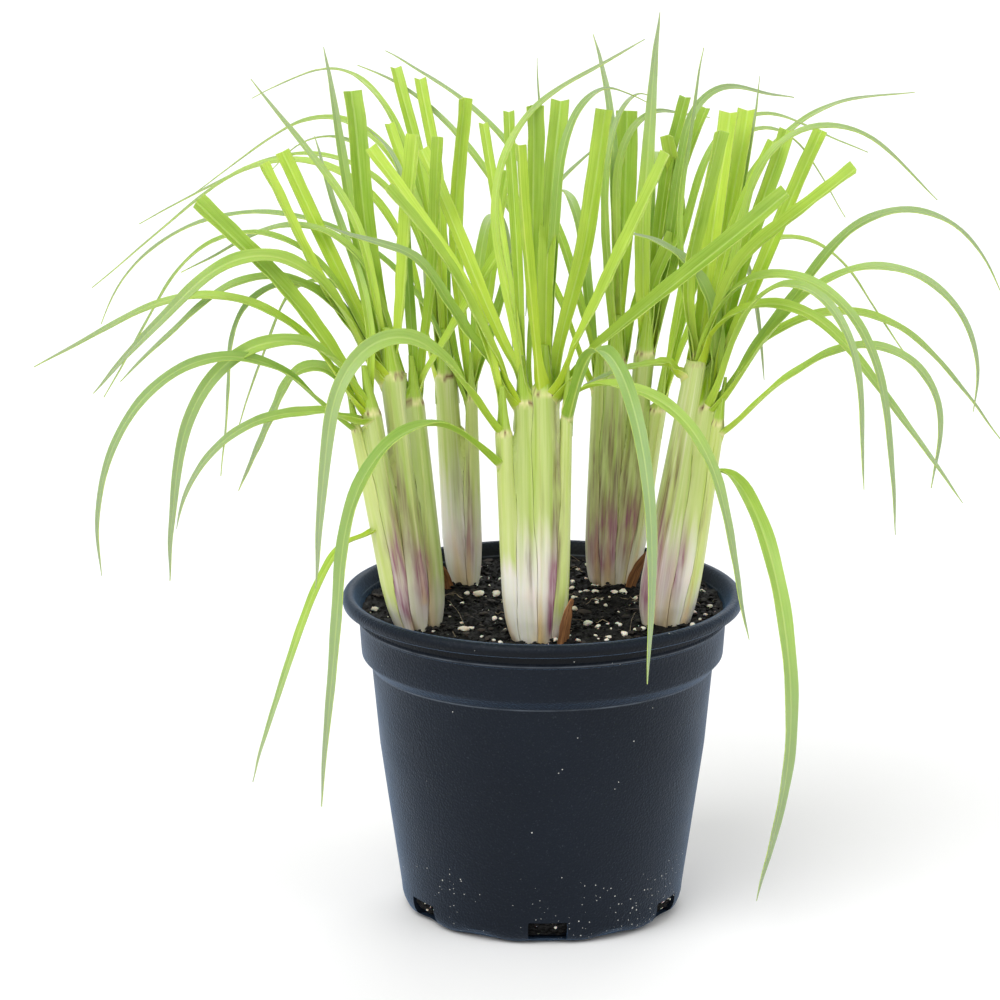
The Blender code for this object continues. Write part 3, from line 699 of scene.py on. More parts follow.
class Graph:
    """A material's nodes, with short ways to wire them."""

    def __init__(self, name: str) -> None:
        """Start a material that holds the plain shader."""
        self.material = bpy.data.materials.new(name)
        self.material.use_nodes = True
        self.tree = self.material.node_tree
        self.shader = self.tree.nodes["Principled BSDF"]

    def set(self, **values: object) -> None:
        """Set the shader's own sockets, named with underscores for spaces."""
        for name, value in values.items():
            self.shader.inputs[name.replace("_", " ")].default_value = value

    def node(self, kind: str, **values: object) -> bpy.types.Node:
        """Add a node.

        Args:
            kind: The node's type, without its ShaderNode prefix.
            values: The properties that are set on it.

        Returns:
            The new node.
        """
        made = self.tree.nodes.new("ShaderNode" + kind)
        for name, value in values.items():
            setattr(made, name, value)
        return made

    def plug(self, value: object, socket: Socket) -> None:
        """Feed a socket from another one, or give it a plain value."""
        if isinstance(value, bpy.types.NodeSocket):
            self.tree.links.new(value, socket)
        elif isinstance(value, tuple) and len(value) == 3 and socket.type == "RGBA":
            socket.default_value = (*value, 1.0)
        else:
            socket.default_value = value

    def feed(self, name: str, value: Socket) -> None:
        """Wire a value into one of the shader's sockets."""
        self.plug(value, self.shader.inputs[name])

    def place(self, space: str = "Object") -> Socket:
        """Return the coordinates of the piece's own mesh, or its UV map."""
        return self.node("TexCoord").outputs[space]

    def height(self, place: Socket) -> Socket:
        """Return the height of a place, in metres."""
        parts = self.node("SeparateXYZ")
        self.plug(place, parts.inputs["Vector"])
        return parts.outputs["Z"]

    def scaled(self, vector: Socket, scale: tuple[float, float, float]) -> Socket:
        """Return a vector scaled along each axis."""
        mapping = self.node("Mapping")
        self.plug(vector, mapping.inputs["Vector"])
        self.plug(scale, mapping.inputs["Scale"])
        return mapping.outputs["Vector"]

    def noise(self, vector: Socket, scale: float, detail: float = 3.0) -> Socket:
        """Return a noise value.

        Args:
            vector: The coordinates it reads.
            scale: Its features per metre.
            detail: How many finer layers it has.

        Returns:
            The noise, from 0 to 1.
        """
        made = self.node("TexNoise")
        self.plug(vector, made.inputs["Vector"])
        self.plug(scale, made.inputs["Scale"])
        self.plug(detail, made.inputs["Detail"])
        return made.outputs["Fac"]

    def grained(self, drawn_out: float, scale: float, detail: float) -> Socket:
        """Return noise that runs along a leaf.

        Args:
            drawn_out: Its features along the leaf, as a share of those across it.
            scale: Its features per metre across the leaf.
            detail: How many finer layers it has.

        Returns:
            The noise, from 0 to 1.
        """
        return self.noise(self.scaled(self.place("UV"), (1.0, drawn_out, 1.0)), scale, detail)

    def cells(self, vector: Socket, scale: float) -> tuple[Socket, Socket]:
        """Return a cell pattern: the distance from each cell's middle, and its colour."""
        made = self.node("TexVoronoi")
        self.plug(vector, made.inputs["Vector"])
        self.plug(scale, made.inputs["Scale"])
        return made.outputs["Distance"], made.outputs["Color"]

    def split(self, colour: Socket) -> tuple[Socket, ...]:
        """Return a colour's three channels."""
        parts = self.node("SeparateColor")
        self.plug(colour, parts.inputs["Color"])
        return tuple(parts.outputs)

    def attribute(self, name: str) -> tuple[Socket, ...]:
        """Return the four values painted on a piece."""
        read = self.node("Attribute", attribute_name=name)
        return (*self.split(read.outputs["Color"]), read.outputs["Alpha"])

    def span(
        self, value: Socket, low: float, high: float, to_low: float = 0.0, to_high: float = 1.0,
    ) -> Socket:
        """Return a value carried from one range to another, held at its ends."""
        made = self.node("MapRange")
        sockets = ("Value", "From Min", "From Max", "To Min", "To Max")
        for name, given in zip(sockets, (value, low, high, to_low, to_high)):
            self.plug(given, made.inputs[name])
        return made.outputs["Result"]

    def sum(self, operation: str, first: object, second: object) -> Socket:
        """Return the result of a sum on two values."""
        made = self.node("Math", operation=operation)
        self.plug(first, made.inputs[0])
        self.plug(second, made.inputs[1])
        return made.outputs[0]

    def times(self, first: object, second: object) -> Socket:
        """Return the product of two values."""
        return self.sum("MULTIPLY", first, second)

    def apart(self, first: object, second: object) -> Socket:
        """Return how far two values lie apart."""
        return self.sum("ABSOLUTE", self.sum("SUBTRACT", first, second), 0.0)

    def blend(self, share: object, first: object, second: object) -> Socket:
        """Return two colours blended.

        Args:
            share: How much of the second colour there is.
            first: The first colour.
            second: The second colour.

        Returns:
            The blended colour.
        """
        made = self.node("Mix", data_type="RGBA")
        factor, first_colour, second_colour = (made.inputs[index] for index in (0, 6, 7))
        self.plug(share, factor)
        self.plug(first, first_colour)
        self.plug(second, second_colour)
        return made.outputs[2]

    def bump(self, height: Socket, strength: float, depth: float) -> None:
        """Raise the surface by a value.

        Args:
            height: The value that raises it.
            strength: How strongly it shows.
            depth: How high it is, in millimetres.
        """
        made = self.node("Bump")
        made.inputs["Strength"].default_value = strength
        made.inputs["Distance"].default_value = depth * MM
        self.plug(height, made.inputs["Height"])
        if self.shader.inputs["Normal"].is_linked:
            self.plug(self.shader.inputs["Normal"].links[0].from_socket, made.inputs["Normal"])
        self.feed("Normal", made.outputs["Normal"])


@dataclass(frozen=True)
class PlasticFinish:
    """Near-black blue-grey plastic with a leathery grain, pale ridge lines that are partly wear and
    partly painted highlight, painted shade under the rim, and stray specks.

    Scales are features per metre, and heights are millimetres above the pot's foot.
    """

    dark: Colour = tint(9, 16, 26)
    light: Colour = tint(13, 21, 32)
    # Pale worn grain, and the pale ridge lines, which are partly painted highlight
    rubbed_and_highlight: Colour = tint(138, 148, 160)
    speck: Colour = tint(226, 226, 220)
    # Painted shade, for the hollow under the rim and the rim's lower face
    shade: Colour = tint(3, 5, 8)
    patch_scale: float = 14.0
    scuff_scale: float = 60.0
    pore_scale: float = 850.0
    grain_scale: float = 1300.0
    speck_scale: float = 540.0
    drift_scale: float = 22.0
    # Heights of the pale lines, partly wear and partly painted highlight: the collar's foot, and the
    # ridges under the rim
    ridges: tuple = (126.3, 150.3, 156.5)
    ridge_line: tuple = (0.1, 0.6)
    # Painted shade under the rim and on the rim's lower face comes in over the first two heights and
    # goes over the others
    painted_rim_shade: tuple = (151.2, 152.5, 159.0, 161.2)
    # The specks are thick up to the first height, and few from the second on
    dusty: tuple = (10.0, 40.0)
    stray_share: float = 0.008
    speck_reach: tuple = (0.06, 0.20)
    speck_strength: float = 0.8

    def material(self) -> bpy.types.Material:
        """Return the material."""
        g = Graph("pot_plastic")
        place = g.place()
        height = g.height(place)
        patches = g.noise(place, self.patch_scale, 4.0)
        colour = g.blend(g.span(patches, 0.3, 0.7), self.dark, self.light)
        grain = g.noise(place, self.grain_scale)
        pores, _ = g.cells(place, self.pore_scale)
        colour = g.blend(g.span(grain, 0.60, 0.8, 0.0, 0.10), colour, self.rubbed_and_highlight)
        # Painted shade: the band under the rim and over the rim's lower face is darkened, and the crown
        # is left lighter
        start, full, fading, end = (level * MM for level in self.painted_rim_shade)
        under = g.times(g.span(height, start, full), g.span(height, fading, end, 0.75, 0.0))
        colour = g.blend(under, colour, self.shade)
        # Thin pale lines along the ridges: partly wear and partly painted highlight, broken up by
        # scuffs
        scuffs = g.span(g.noise(place, self.scuff_scale, 4.0), 0.35, 0.7, 0.10, 0.42)
        near, far = (width * MM for width in self.ridge_line)
        for level in self.ridges:
            line = g.times(g.span(g.apart(height, level * MM), near, far, 1.0, 0.0), scuffs)
            colour = g.blend(line, colour, self.rubbed_and_highlight)
        colour = g.blend(self.specks(g, place, height), colour, self.speck)
        g.feed("Base Color", colour)
        g.feed("Roughness", g.span(g.noise(place, self.scuff_scale), 0.2, 0.8, 0.40, 0.50))
        g.set(Specular_IOR_Level=0.16, Sheen_Weight=0.36, Sheen_Roughness=0.38)
        g.set(Sheen_Tint=(0.28, 0.52, 0.9, 1.0))
        g.bump(pores, 0.55, 0.35)
        g.bump(grain, 0.45, 0.25)
        return g.material

    def specks(self, g: Graph, place: Socket, height: Socket) -> Socket:
        """Return the fine perlite dust that clings to the pot, most of it near the foot.

        Args:
            g: The material's nodes.
            place: The coordinates on the pot.
            height: The height on the pot, in metres.

        Returns:
            How strongly a speck shows, and 0 beside the specks.
        """
        distance, colour = g.cells(place, self.speck_scale)
        lot, size, _ = g.split(colour)
        drifts = g.span(g.noise(place, self.drift_scale), 0.40, 0.60)
        thick, few = (level * MM for level in self.dusty)
        share = g.times(g.span(height, thick, few, 1.0, 0.0), drifts)
        chosen = g.sum("LESS_THAN", lot, g.sum("ADD", share, self.stray_share))
        dot = g.sum("LESS_THAN", distance, g.span(size, 0.0, 1.0, *self.speck_reach))
        return g.times(g.times(chosen, dot), self.speck_strength)


@dataclass(frozen=True)
class SoilFinish:
    """Dark moist potting mix."""

    name: str = "potting_soil"
    dark: Colour = tint(2, 2, 2)
    light: Colour = tint(11, 9, 8)

    def material(self) -> bpy.types.Material:
        """Return the material."""
        g = Graph(self.name)
        place = g.place()
        rough = g.noise(place, 420.0, 6.0)
        g.feed("Base Color", g.blend(g.span(rough, 0.45, 0.75), self.dark, self.light))
        g.feed("Roughness", g.span(g.noise(place, 900.0), 0.3, 0.7, 0.6, 0.95))
        g.set(Specular_IOR_Level=0.25)
        g.bump(rough, 0.8, 1.0)
        return g.material


@dataclass(frozen=True)
class GrainFinish:
    """A rough grain or chip, such as perlite or bark."""

    name: str
    dark: Colour
    light: Colour
    roughness: float
    scatter: float = 0.0

    def material(self) -> bpy.types.Material:
        """Return the material."""
        g = Graph(self.name)
        place = g.place()
        patches = g.noise(place, 260.0, 4.0)
        g.feed("Base Color", g.blend(g.span(patches, 0.35, 0.65), self.dark, self.light))
        g.set(Roughness=self.roughness)
        if self.scatter:
            g.set(Subsurface_Weight=self.scatter, Subsurface_Scale=0.001)
        g.bump(g.noise(place, 1400.0, 4.0), 0.5, 0.3)
        return g.material


@dataclass(frozen=True)
class BladeFinish:
    """One face of a leaf blade, with its parallel veins and its midrib.

    The blade attribute holds the share across, the share along, the tone and the collar.
    """

    name: str
    deep: Colour
    fresh: Colour
    collar: Colour
    tip: Colour
    midrib: Colour
    rib_share: float
    roughness: float
    gloss: float
    bloom: float
    withered: Colour = tint(152, 162, 138)
    collar_line: Colour = tint(222, 214, 158)

    def material(self) -> bpy.types.Material:
        """Return the material."""
        g = Graph(self.name)
        across, along, tone, collar = g.attribute("blade")
        veins = g.grained(0.012, 2600.0, 2.0)
        patches = g.grained(0.25, 120.0, 3.0)
        mood = g.sum("ADD", tone, g.span(patches, 0.3, 0.7, -0.18, 0.18))
        colour = g.blend(mood, self.deep, self.fresh)
        colour = g.blend(g.span(veins, 0.35, 0.7, 0.0, 0.16), colour, self.midrib)
        colour = g.blend(g.span(veins, 0.3, 0.5, 0.22, 0.0), colour, self.deep)
        colour = g.blend(g.span(along, 0.0, 0.22, 0.52, 0.0), colour, self.collar)
        colour = g.blend(g.span(along, 0.22, 0.75, 0.0, 0.7), colour, self.tip)
        colour = g.blend(g.span(along, 0.55, 1.0, 0.0, 0.85), colour, self.withered)
        off = g.apart(across, 0.5)
        rib = g.span(off, 0.01, 0.09, self.rib_share, 0.0)
        colour = g.blend(rib, colour, self.midrib)
        g.feed("Base Color", g.blend(collar, colour, self.collar_line))
        g.feed("Roughness", g.span(veins, 0.3, 0.7, self.roughness - 0.05, self.roughness + 0.08))
        g.set(Subsurface_Weight=0.35, Subsurface_Scale=0.0012, Subsurface_Radius=(0.6, 1.0, 0.15))
        g.set(Specular_IOR_Level=self.gloss, Sheen_Weight=self.bloom, Sheen_Roughness=0.5)
        g.set(Sheen_Tint=(0.78, 0.93, 1.0, 1.0))
        g.bump(veins, 0.35, 0.12)
        g.bump(g.span(off, 0.0, 0.06, 1.0, 0.0), 0.5, 0.25)
        return g.material


@dataclass(frozen=True)
class SheathFinish:
    """The wrapped sheaths of a stem: white foot, green top, purple and brown streaks.

    The sheath attribute holds the purple, the brown, the seam and the share of the way up.
    The stem attribute holds the tone, the white, the young heart and the lip.
    """

    white: Colour = tint(228, 226, 216)
    blush: Colour = tint(236, 216, 212)
    cream: Colour = tint(214, 220, 160)
    fresh: Colour = tint(190, 206, 100)
    deep: Colour = tint(140, 172, 46)
    leaf: Colour = tint(150, 184, 30)
    purple: Colour = tint(134, 64, 100)
    brown: Colour = tint(104, 80, 52)
    tan: Colour = tint(212, 184, 128)
    lip: Colour = tint(226, 218, 160)
    dry_lip: Colour = tint(104, 68, 34)
    dirt: Colour = tint(70, 52, 38)

    def material(self) -> bpy.types.Material:
        """Return the material."""
        g = Graph("sheath")
        purple, brown, seam, height = g.attribute("sheath")
        tone, white, young, lip = g.attribute("stem")
        fibres = g.grained(0.02, 1500.0, 3.0)
        bands = g.grained(0.03, 420.0, 2.0)
        patches = g.grained(0.4, 110.0, 4.0)
        smears = g.grained(0.11, 300.0, 4.0)
        green = g.blend(tone, self.deep, self.fresh)
        green = g.blend(g.span(bands, 0.3, 0.7, 0.0, 0.62), green, self.cream)
        green = g.blend(young, green, self.leaf)
        foot = g.blend(g.span(patches, 0.45, 0.7, 0.0, 0.7), self.white, self.blush)
        rise = g.sum("ADD", white, g.span(bands, 0.25, 0.75, -0.28, 0.28))
        colour = g.blend(g.span(rise, 0.1, 0.9), green, foot)
        colour = g.blend(g.span(fibres, 0.35, 0.7, 0.0, 0.28), colour, self.cream)
        broken = g.times(g.span(smears, 0.36, 0.6, 0.12, 0.95), g.span(fibres, 0.38, 0.6, 0.5, 1.0))
        colour = g.blend(g.times(brown, broken), colour, self.brown)
        washed = g.times(g.span(smears, 0.32, 0.56, 0.35, 1.0), g.span(fibres, 0.32, 0.6, 0.6, 0.95))
        colour = g.blend(g.times(purple, washed), colour, self.purple)
        colour = g.blend(seam, colour, self.tan)
        colour = g.blend(g.times(lip, g.span(patches, 0.3, 0.5, 0.35, 1.0)), colour, self.lip)
        colour = g.blend(g.times(lip, g.span(bands, 0.50, 0.60)), colour, self.dry_lip)
        dirt = g.times(g.span(height, 0.0, 0.05, 0.7, 0.0), g.span(patches, 0.4, 0.6))
        g.feed("Base Color", g.blend(dirt, colour, self.dirt))
        g.feed("Roughness", g.span(fibres, 0.3, 0.7, 0.34, 0.46))
        g.set(Subsurface_Weight=0.20, Subsurface_Scale=0.001, Subsurface_Radius=(1.0, 0.8, 0.4))
        g.bump(fibres, 0.25, 0.15)
        g.bump(bands, 0.15, 0.25)
        return g.material


@dataclass(frozen=True)
class HuskFinish:
    """A dry brown leaf sheath with papery ribs."""

    dark: Colour = tint(92, 56, 30)
    light: Colour = tint(176, 122, 72)

    def material(self) -> bpy.types.Material:
        """Return the material."""
        g = Graph("dry_husk")
        ribs = g.grained(0.03, 1300.0, 3.0)
        g.feed("Base Color", g.blend(g.span(ribs, 0.3, 0.7), self.dark, self.light))
        g.set(Roughness=0.7)
        g.bump(ribs, 0.7, 0.3)
        return g.material


@dataclass(frozen=True)
class FloorFinish:
    """A plain pale floor."""

    pale: Colour = (0.92, 0.92, 0.92)

    def material(self) -> bpy.types.Material:
        """Return the material."""
        g = Graph("pale_floor")
        g.set(Base_Color=(*self.pale, 1.0), Roughness=0.9)
        return g.material


UPPER = BladeFinish(
    "blade_upper", tint(106, 150, 12), tint(194, 217, 74), tint(194, 212, 56),
    tint(146, 176, 104), tint(214, 230, 146), 0.35, 0.46, 0.42, 0.05)
UNDER = BladeFinish(
    "blade_under", tint(106, 150, 8), tint(190, 213, 50), tint(192, 208, 46),
    tint(148, 176, 88), tint(212, 226, 116), 0.55, 0.47, 0.35, 0.03)
CUT_EDGE = GrainFinish("blade_edge", tint(150, 180, 60), tint(188, 206, 104), 0.5)
CRUMB = SoilFinish("soil_crumb", tint(3, 3, 3), tint(17, 14, 12))
PERLITE = GrainFinish("perlite", tint(206, 198, 176), tint(240, 236, 224), 0.8, 0.3)
BARK = GrainFinish("bark", tint(10, 8, 6), tint(42, 31, 22), 0.85)
FIBRE = GrainFinish("root_fibre", tint(84, 70, 54), tint(168, 152, 124), 0.7)


@dataclass
class Pot:
    """The nursery pot, turned from its profile and cut for drainage."""

    height: float = 163.0
    rim_radius: float = 100.0
    crown_reach: float = 3.2
    crown_rise: float = 3.6
    crown_steps: int = 12
    floor_radius: float = 62.0
    foot_radius: float = 65.5
    floor_thickness: float = 3.5
    middle_radius: float = 8.0
    sides: int = 192
    hole_count: int = 6
    hole_width: float = 19.5
    hole_low: float = 2.4
    hole_high: float = 12.0
    hole_from: float = 62.0
    hole_to: float = 82.0
    hole_direction: float = -88.0
    hole_rounding: float = 0.9
    feet: int = 12
    scallop: float = 1.6
    scallop_radius: float = 64.0
    scallop_top: float = 5.0
    smooth_under: float = 32.0

    def outside(self) -> list[Spot]:
        """Return the outer profile, from the floor to the crown of the rim."""
        points = [
            (self.middle_radius, 0.0), (40.0, 0.0), (self.floor_radius, 0.0), (64.2, 0.15),
            (self.foot_radius, 0.6), (67.0, 1.3), (68.3, 2.2), (69.2, 3.6), (69.9, 5.4),
            (70.6, 8.0), (71.0, 12.0),
        ]
        points += self.wall((71.0, 12.0), (76.2, 48.0))
        points += self.wall((76.2, 48.0), (81.5, 85.0))
        points += self.wall((81.5, 85.0), (85.4, 125.4))
        points += [
            (85.6, 126.3), (86.2, 127.2), (87.2, 128.3), (88.6, 129.9), (89.8, 131.2),
            (90.3, 131.9), (90.5, 132.8), (90.9, 138.0), (91.3, 144.0), (91.6, 148.4),
            (91.8, 149.0), (92.4, 149.4), (92.6, 150.0), (92.6, 150.7), (92.3, 151.3),
            (91.9, 151.8), (91.95, 153.0), (92.1, 155.4), (92.5, 156.2), (93.4, 156.5),
            (97.6, 156.5), (98.9, 156.8), (99.6, 157.3),
        ]
        for step in range(self.crown_steps + 1):
            angle = math.radians(-25.0 + 115.0 * step / self.crown_steps)
            radius = self.rim_radius - self.crown_reach + self.crown_reach * math.cos(angle)
            points.append((radius, self.height - self.crown_rise + self.crown_rise * math.sin(angle)))
        return points

    @staticmethod
    def wall(start: Spot, end: Spot, steps: int = 6) -> list[Spot]:
        """Return even points from after the start of a straight stretch up to its end."""
        return [
            (mix(start[0], end[0], step / steps), mix(start[1], end[1], step / steps))
            for step in range(1, steps + 1)
        ]

    def inside(self) -> list[Spot]:
        """Return the inner profile, from the rim down to the floor."""
        top = self.height
        return [
            (95.6, top - 0.1), (94.6, top - 0.7), (93.8, top - 1.8), (93.1, top - 3.6),
            (91.6, 157.0), (90.7, 152.6), (90.0, 149.0), (89.4, 141.0), (88.8, 133.2),
            (83.8, 127.6), (79.8, 85.0), (74.5, 48.0), (68.9, 9.0), (67.2, 5.4),
            (63.2, self.floor_thickness), (self.middle_radius, self.floor_thickness),
        ]

    def scalloped(self, thing: bpy.types.Object) -> None:
        """Lift the foot ring between its feet."""
        for vertex in thing.data.vertices:
            x, y, z = vertex.co / MM
            radius = math.hypot(x, y)
            if radius < self.scallop_radius or z > self.scallop_top:
                continue
            turn = math.atan2(y, x) - math.radians(self.hole_direction)
            lift = self.scallop * (0.5 + 0.5 * math.cos(self.feet * turn))
            share = smooth_step((radius - self.floor_radius) / 3.0)
            vertex.co.z += lift * share * (1.0 - smooth_step((z - 3.0) / 2.5)) * MM

    def hole(self, index: int) -> bpy.types.Object:
        """Return the rounded block that cuts one drainage hole.

        Args:
            index: The hole's place in the ring of them.

        Returns:
            The block, which reaches through the wall.
        """
        direction = math.radians(self.hole_direction + 360.0 * index / self.hole_count)
        middle = (self.hole_from + self.hole_to) / 2.0
        place = Vector((middle * math.cos(direction), middle * math.sin(direction), 0.0))
        place.z = (self.hole_low + self.hole_high) / 2.0
        bpy.ops.mesh.primitive_cube_add(size=1.0, location=place * MM, rotation=(0, 0, direction))
        block = bpy.context.object
        size = (self.hole_to - self.hole_from, self.hole_width, self.hole_high - self.hole_low)
        block.scale = Vector(size) * MM
        Bench.settle(block)
        Bench.apply(block, "BEVEL", width=self.hole_rounding * MM, segments=3)
        return block

    def build(self, finish: bpy.types.Material) -> None:
        """Make the pot.

        Args:
            finish: The plastic.
        """
        pot = Bench.lathe("nursery_pot", self.outside() + self.inside(), self.sides)
        self.scalloped(pot)
        blocks = [self.hole(index) for index in range(self.hole_count)]
        cutter = Bench.join(blocks, "drainage_cutters")
        Bench.apply(pot, "BOOLEAN", operation="DIFFERENCE", solver="EXACT", object=cutter)
        bpy.data.objects.remove(cutter)
        Bench.smooth(pot, self.smooth_under)
        Bench.finish(pot, finish)
        Bench.deliver(pot, "pot", ["pot"])


@dataclass(frozen=True)
class Litter:
    """One kind of loose stuff in the mix: how its grains are made, strewn and finished.

    Strewn grains lie on the soil, sunk into it by a share of their size, and packed ones show
    behind each drainage hole. Low and high are their smallest and largest size. Stretch is
    how much longer than wide a grain may be. Marked grains are placed one by one, as x, y and
    size.
    """

    name: str
    finish: SoilFinish | GrainFinish
    kinds: int
    first_seed: int
    divisions: int
    squash: float
    strewn: int
    low: float
    high: float
    sunk: float
    stretch: float
    smooth_under: float
    packed: int = 0
    packed_low: float = 1.0
    packed_high: float = 1.0
    marked: tuple = ()


LITTERS = (
    Litter("soil_crumbs", CRUMB, 4, 0, 1, 0.7, 3200, 0.7, 2.9, 0.25, 0.8, 25.0, 60, 1.2, 3.4),
    Litter("bark_chips", BARK, 4, 9, 1, 0.35, 240, 1.6, 4.4, 0.15, 1.6, 25.0),
    Litter("perlite", PERLITE, 5, 20, 2, 0.8, 190, 0.6, 2.8, 0.3, 0.5, 60.0, 7, 1.0, 2.6, (
        (-84, -2, 3.4), (-39, -43, 3.8), (-36, -37, 3.0), (-32, 20, 4.4), (-23, 16, 4.0),
        (-21, -62, 2.8), (15, 29, 2.6), (16, -8, 3.2), (16, 12, 2.4), (27, 22, 2.8),
        (30, 12, 2.2), (27, 4, 2.0), (36.5, 20, 3.0), (41, 20, 3.6), (22, -32, 4.2),
        (27, -40, 2.4), (32, -51, 2.8), (31, -60, 2.4), (40, -53, 3.6), (49, -45, 3.0),
        (83.5, -5.5, 2.8), (75, -16, 2.8), (-24, -24, 2.6),
    )),
)


@dataclass
class Soil:
    """The potting mix: a rough bed, with crumbs, bark, perlite and root fibres on it."""

    level: float = SOIL_LEVEL
    edge: float = 90.2
    relief: float = 1.3
    sides: int = 200
    rings: int = 58
    smooth_under: float = 50.0
    # The side of the bed, as radius and height up the pot's wall
    side: tuple = (
        (8.0, 3.9), (62.9, 3.9), (66.8, 5.9), (68.5, 9.3), (74.1, 48.0), (79.4, 85.0),
        (83.4, 127.4), (88.3, 133.4), (89.5, 149.0), (90.2, 152.4),
    )
    # Where grains are packed behind the drainage holes: heights, and the radius at each
    packed_heights: tuple = (3.9, 5.9, 9.3, 12.0)
    packed_radii: tuple = (62.9, 66.6, 68.3, 68.8)
    packed_turn: float = 7.5
    # Root fibres laid one by one, from end to end, and the number strewn
    laid: tuple = (
        ((-47.7, 7.3), (-38.7, -33.0)), ((47.3, -14.7), (42.8, -47.7)), ((-52, 20), (-40, 14)),
    )
    strewn: int = 26
    strewn_radius: float = 84.0
    fibre_steps: int = 8
    rng: random.Random = field(default_factory=lambda: random.Random(11))

    def height(self, x: float, y: float) -> float:
        """Return the height of the broad soil surface, which rises a little to the back right."""
        slope = 1.2 * (x + y) / 100.0
        waves = math.sin(0.11 * x + 0.7) * math.cos(0.13 * y) + 0.6 * math.sin(0.31 * x - 0.27 * y)
        return self.level + slope + self.relief * waves / 1.6

    @staticmethod
    def crumble(x: float, y: float) -> float:
        """Return how far the crumbs of the surface stand up at a place."""
        spot = Vector((x, y, 3.0))
        crumbs = noise.fractal(spot * 0.22, 1.0, 2.1, 5) * 1.5
        lumps = max(noise.noise(spot * 0.5), 0.0) * 1.6
        return crumbs + lumps - 0.6

    def ground(self, x: float, y: float) -> float:
        """Return the height of the crumbly surface."""
        return self.height(x, y) + self.crumble(x, y)

    def bed(self, finish: bpy.types.Material) -> None:
        """Make the bed of soil that fills the pot.

        Args:
            finish: The soil's material.
        """
        top = [(self.edge * (1.0 - ring / self.rings), self.level) for ring in range(self.rings)]
        bed = Bench.lathe("soil_bed", [*self.side, *top], self.sides)
        for vertex in bed.data.vertices:
            x, y, z = vertex.co / MM
            if z > self.level - 0.5:
                vertex.co.z = self.ground(x, y) * MM
        Bench.smooth(bed, self.smooth_under)
        Bench.finish(bed, finish)
        Bench.deliver(bed, "soil", ["soil"])

    @staticmethod
    def grain(litter: Litter, index: int) -> bpy.types.Object:
        """Model one rough grain, a millimetre wide, that is then copied.

        Args:
            litter: The kind of litter.
            index: Which of its grains it is.

        Returns:
            The grain.
        """
        seed = litter.first_seed + index
        bpy.ops.mesh.primitive_ico_sphere_add(subdivisions=litter.divisions, radius=0.5 * MM)
        grain = bpy.context.object
        grain.name = f"{litter.name}_grain_{index}"
        for vertex in grain.data.vertices:
            spot = vertex.co / MM + Vector((seed * 7.3, seed * 2.1, 0.0))
            vertex.co *= 1.0 + 0.45 * noise.noise(spot * 2.3)
            vertex.co.z *= litter.squash
        return grain

    def scatter(self, litter: Litter, spots: Sequence[tuple]) -> bpy.types.Object:
        """Copy a litter's grains to many places and join them.

        Args:
            litter: The kind of litter.
            spots: Rows of x, y, z and size, one for each copy.

        Returns:
            The joined grains.
        """
        kinds = [self.grain(litter, index) for index in range(litter.kinds)]
        copies = []
        for x, y, z, size in spots:
            kind = self.rng.choice(kinds)
            copy = kind.copy()
            copy.data = kind.data.copy()
            bpy.context.collection.objects.link(copy)
            longer = 1.0 + litter.stretch * self.rng.random()
            scale = Matrix.Diagonal((size * longer, size, size * 0.9, 1.0))
            lean = Matrix.Rotation(self.rng.uniform(-0.5, 0.5), 4, "X")
            turn = Matrix.Rotation(self.rng.uniform(0.0, math.tau), 4, "Z")
            place = Matrix.Translation(Vector((x, y, z)) * MM)
            copy.data.transform(place @ turn @ lean @ scale)
            copies.append(copy)
        for kind in kinds:
            bpy.data.objects.remove(kind)
        return Bench.join(copies, litter.name)

    def strewn_spots(self, litter: Litter) -> list[tuple]:
        """Return random places on the soil, as rows of x, y, z and size."""
        rows = []
        for _ in range(litter.strewn):
            radius = (self.edge - 2.5) * math.sqrt(self.rng.random())
            angle = self.rng.uniform(0.0, math.tau)
            x, y = radius * math.cos(angle), radius * math.sin(angle)
            size = mix(litter.low, litter.high, self.rng.random() ** 2)
            rows.append((x, y, self.ground(x, y) + size * (0.5 - litter.sunk), size))
        return rows

    def packed_spots(self, litter: Litter) -> list[tuple]:
        """Return random places behind the drainage holes.

        Args:
            litter: The kind of grains that are packed there.

        Returns:
            Rows of x, y, z and size, in millimetres.
        """
        pot, rows = Pot(), []
        for index in range(pot.hole_count):
            middle = pot.hole_direction + 360.0 * index / pot.hole_count
            for _ in range(litter.packed):
                turn = self.rng.uniform(-self.packed_turn, self.packed_turn)
                angle = math.radians(middle + turn)
                z = self.rng.uniform(pot.hole_low + 2.2, pot.hole_high - 0.4)
                radius = np.interp(z, self.packed_heights, self.packed_radii)
                size = self.rng.uniform(litter.packed_low, litter.packed_high)
                rows.append((radius * math.cos(angle), radius * math.sin(angle), z, size))
        return rows

    def strew(self, litter: Litter) -> None:
        """Make one kind of litter.

        Args:
            litter: The kind of litter.
        """
        marked = [(x, y, self.ground(x, y) + size * 0.25, size) for x, y, size in litter.marked]
        spots = marked + self.strewn_spots(litter) + self.packed_spots(litter)
        made = self.scatter(litter, spots)
        self.dress(made, litter.finish.material(), litter.smooth_under)

    @staticmethod
    def dress(thing: bpy.types.Object, finish: bpy.types.Material, smooth_under: float) -> None:
        """Give what lies on the soil its finish and hand it over."""
        Bench.smooth(thing, smooth_under)
        Bench.finish(thing, finish)
        Bench.deliver(thing, "soil")

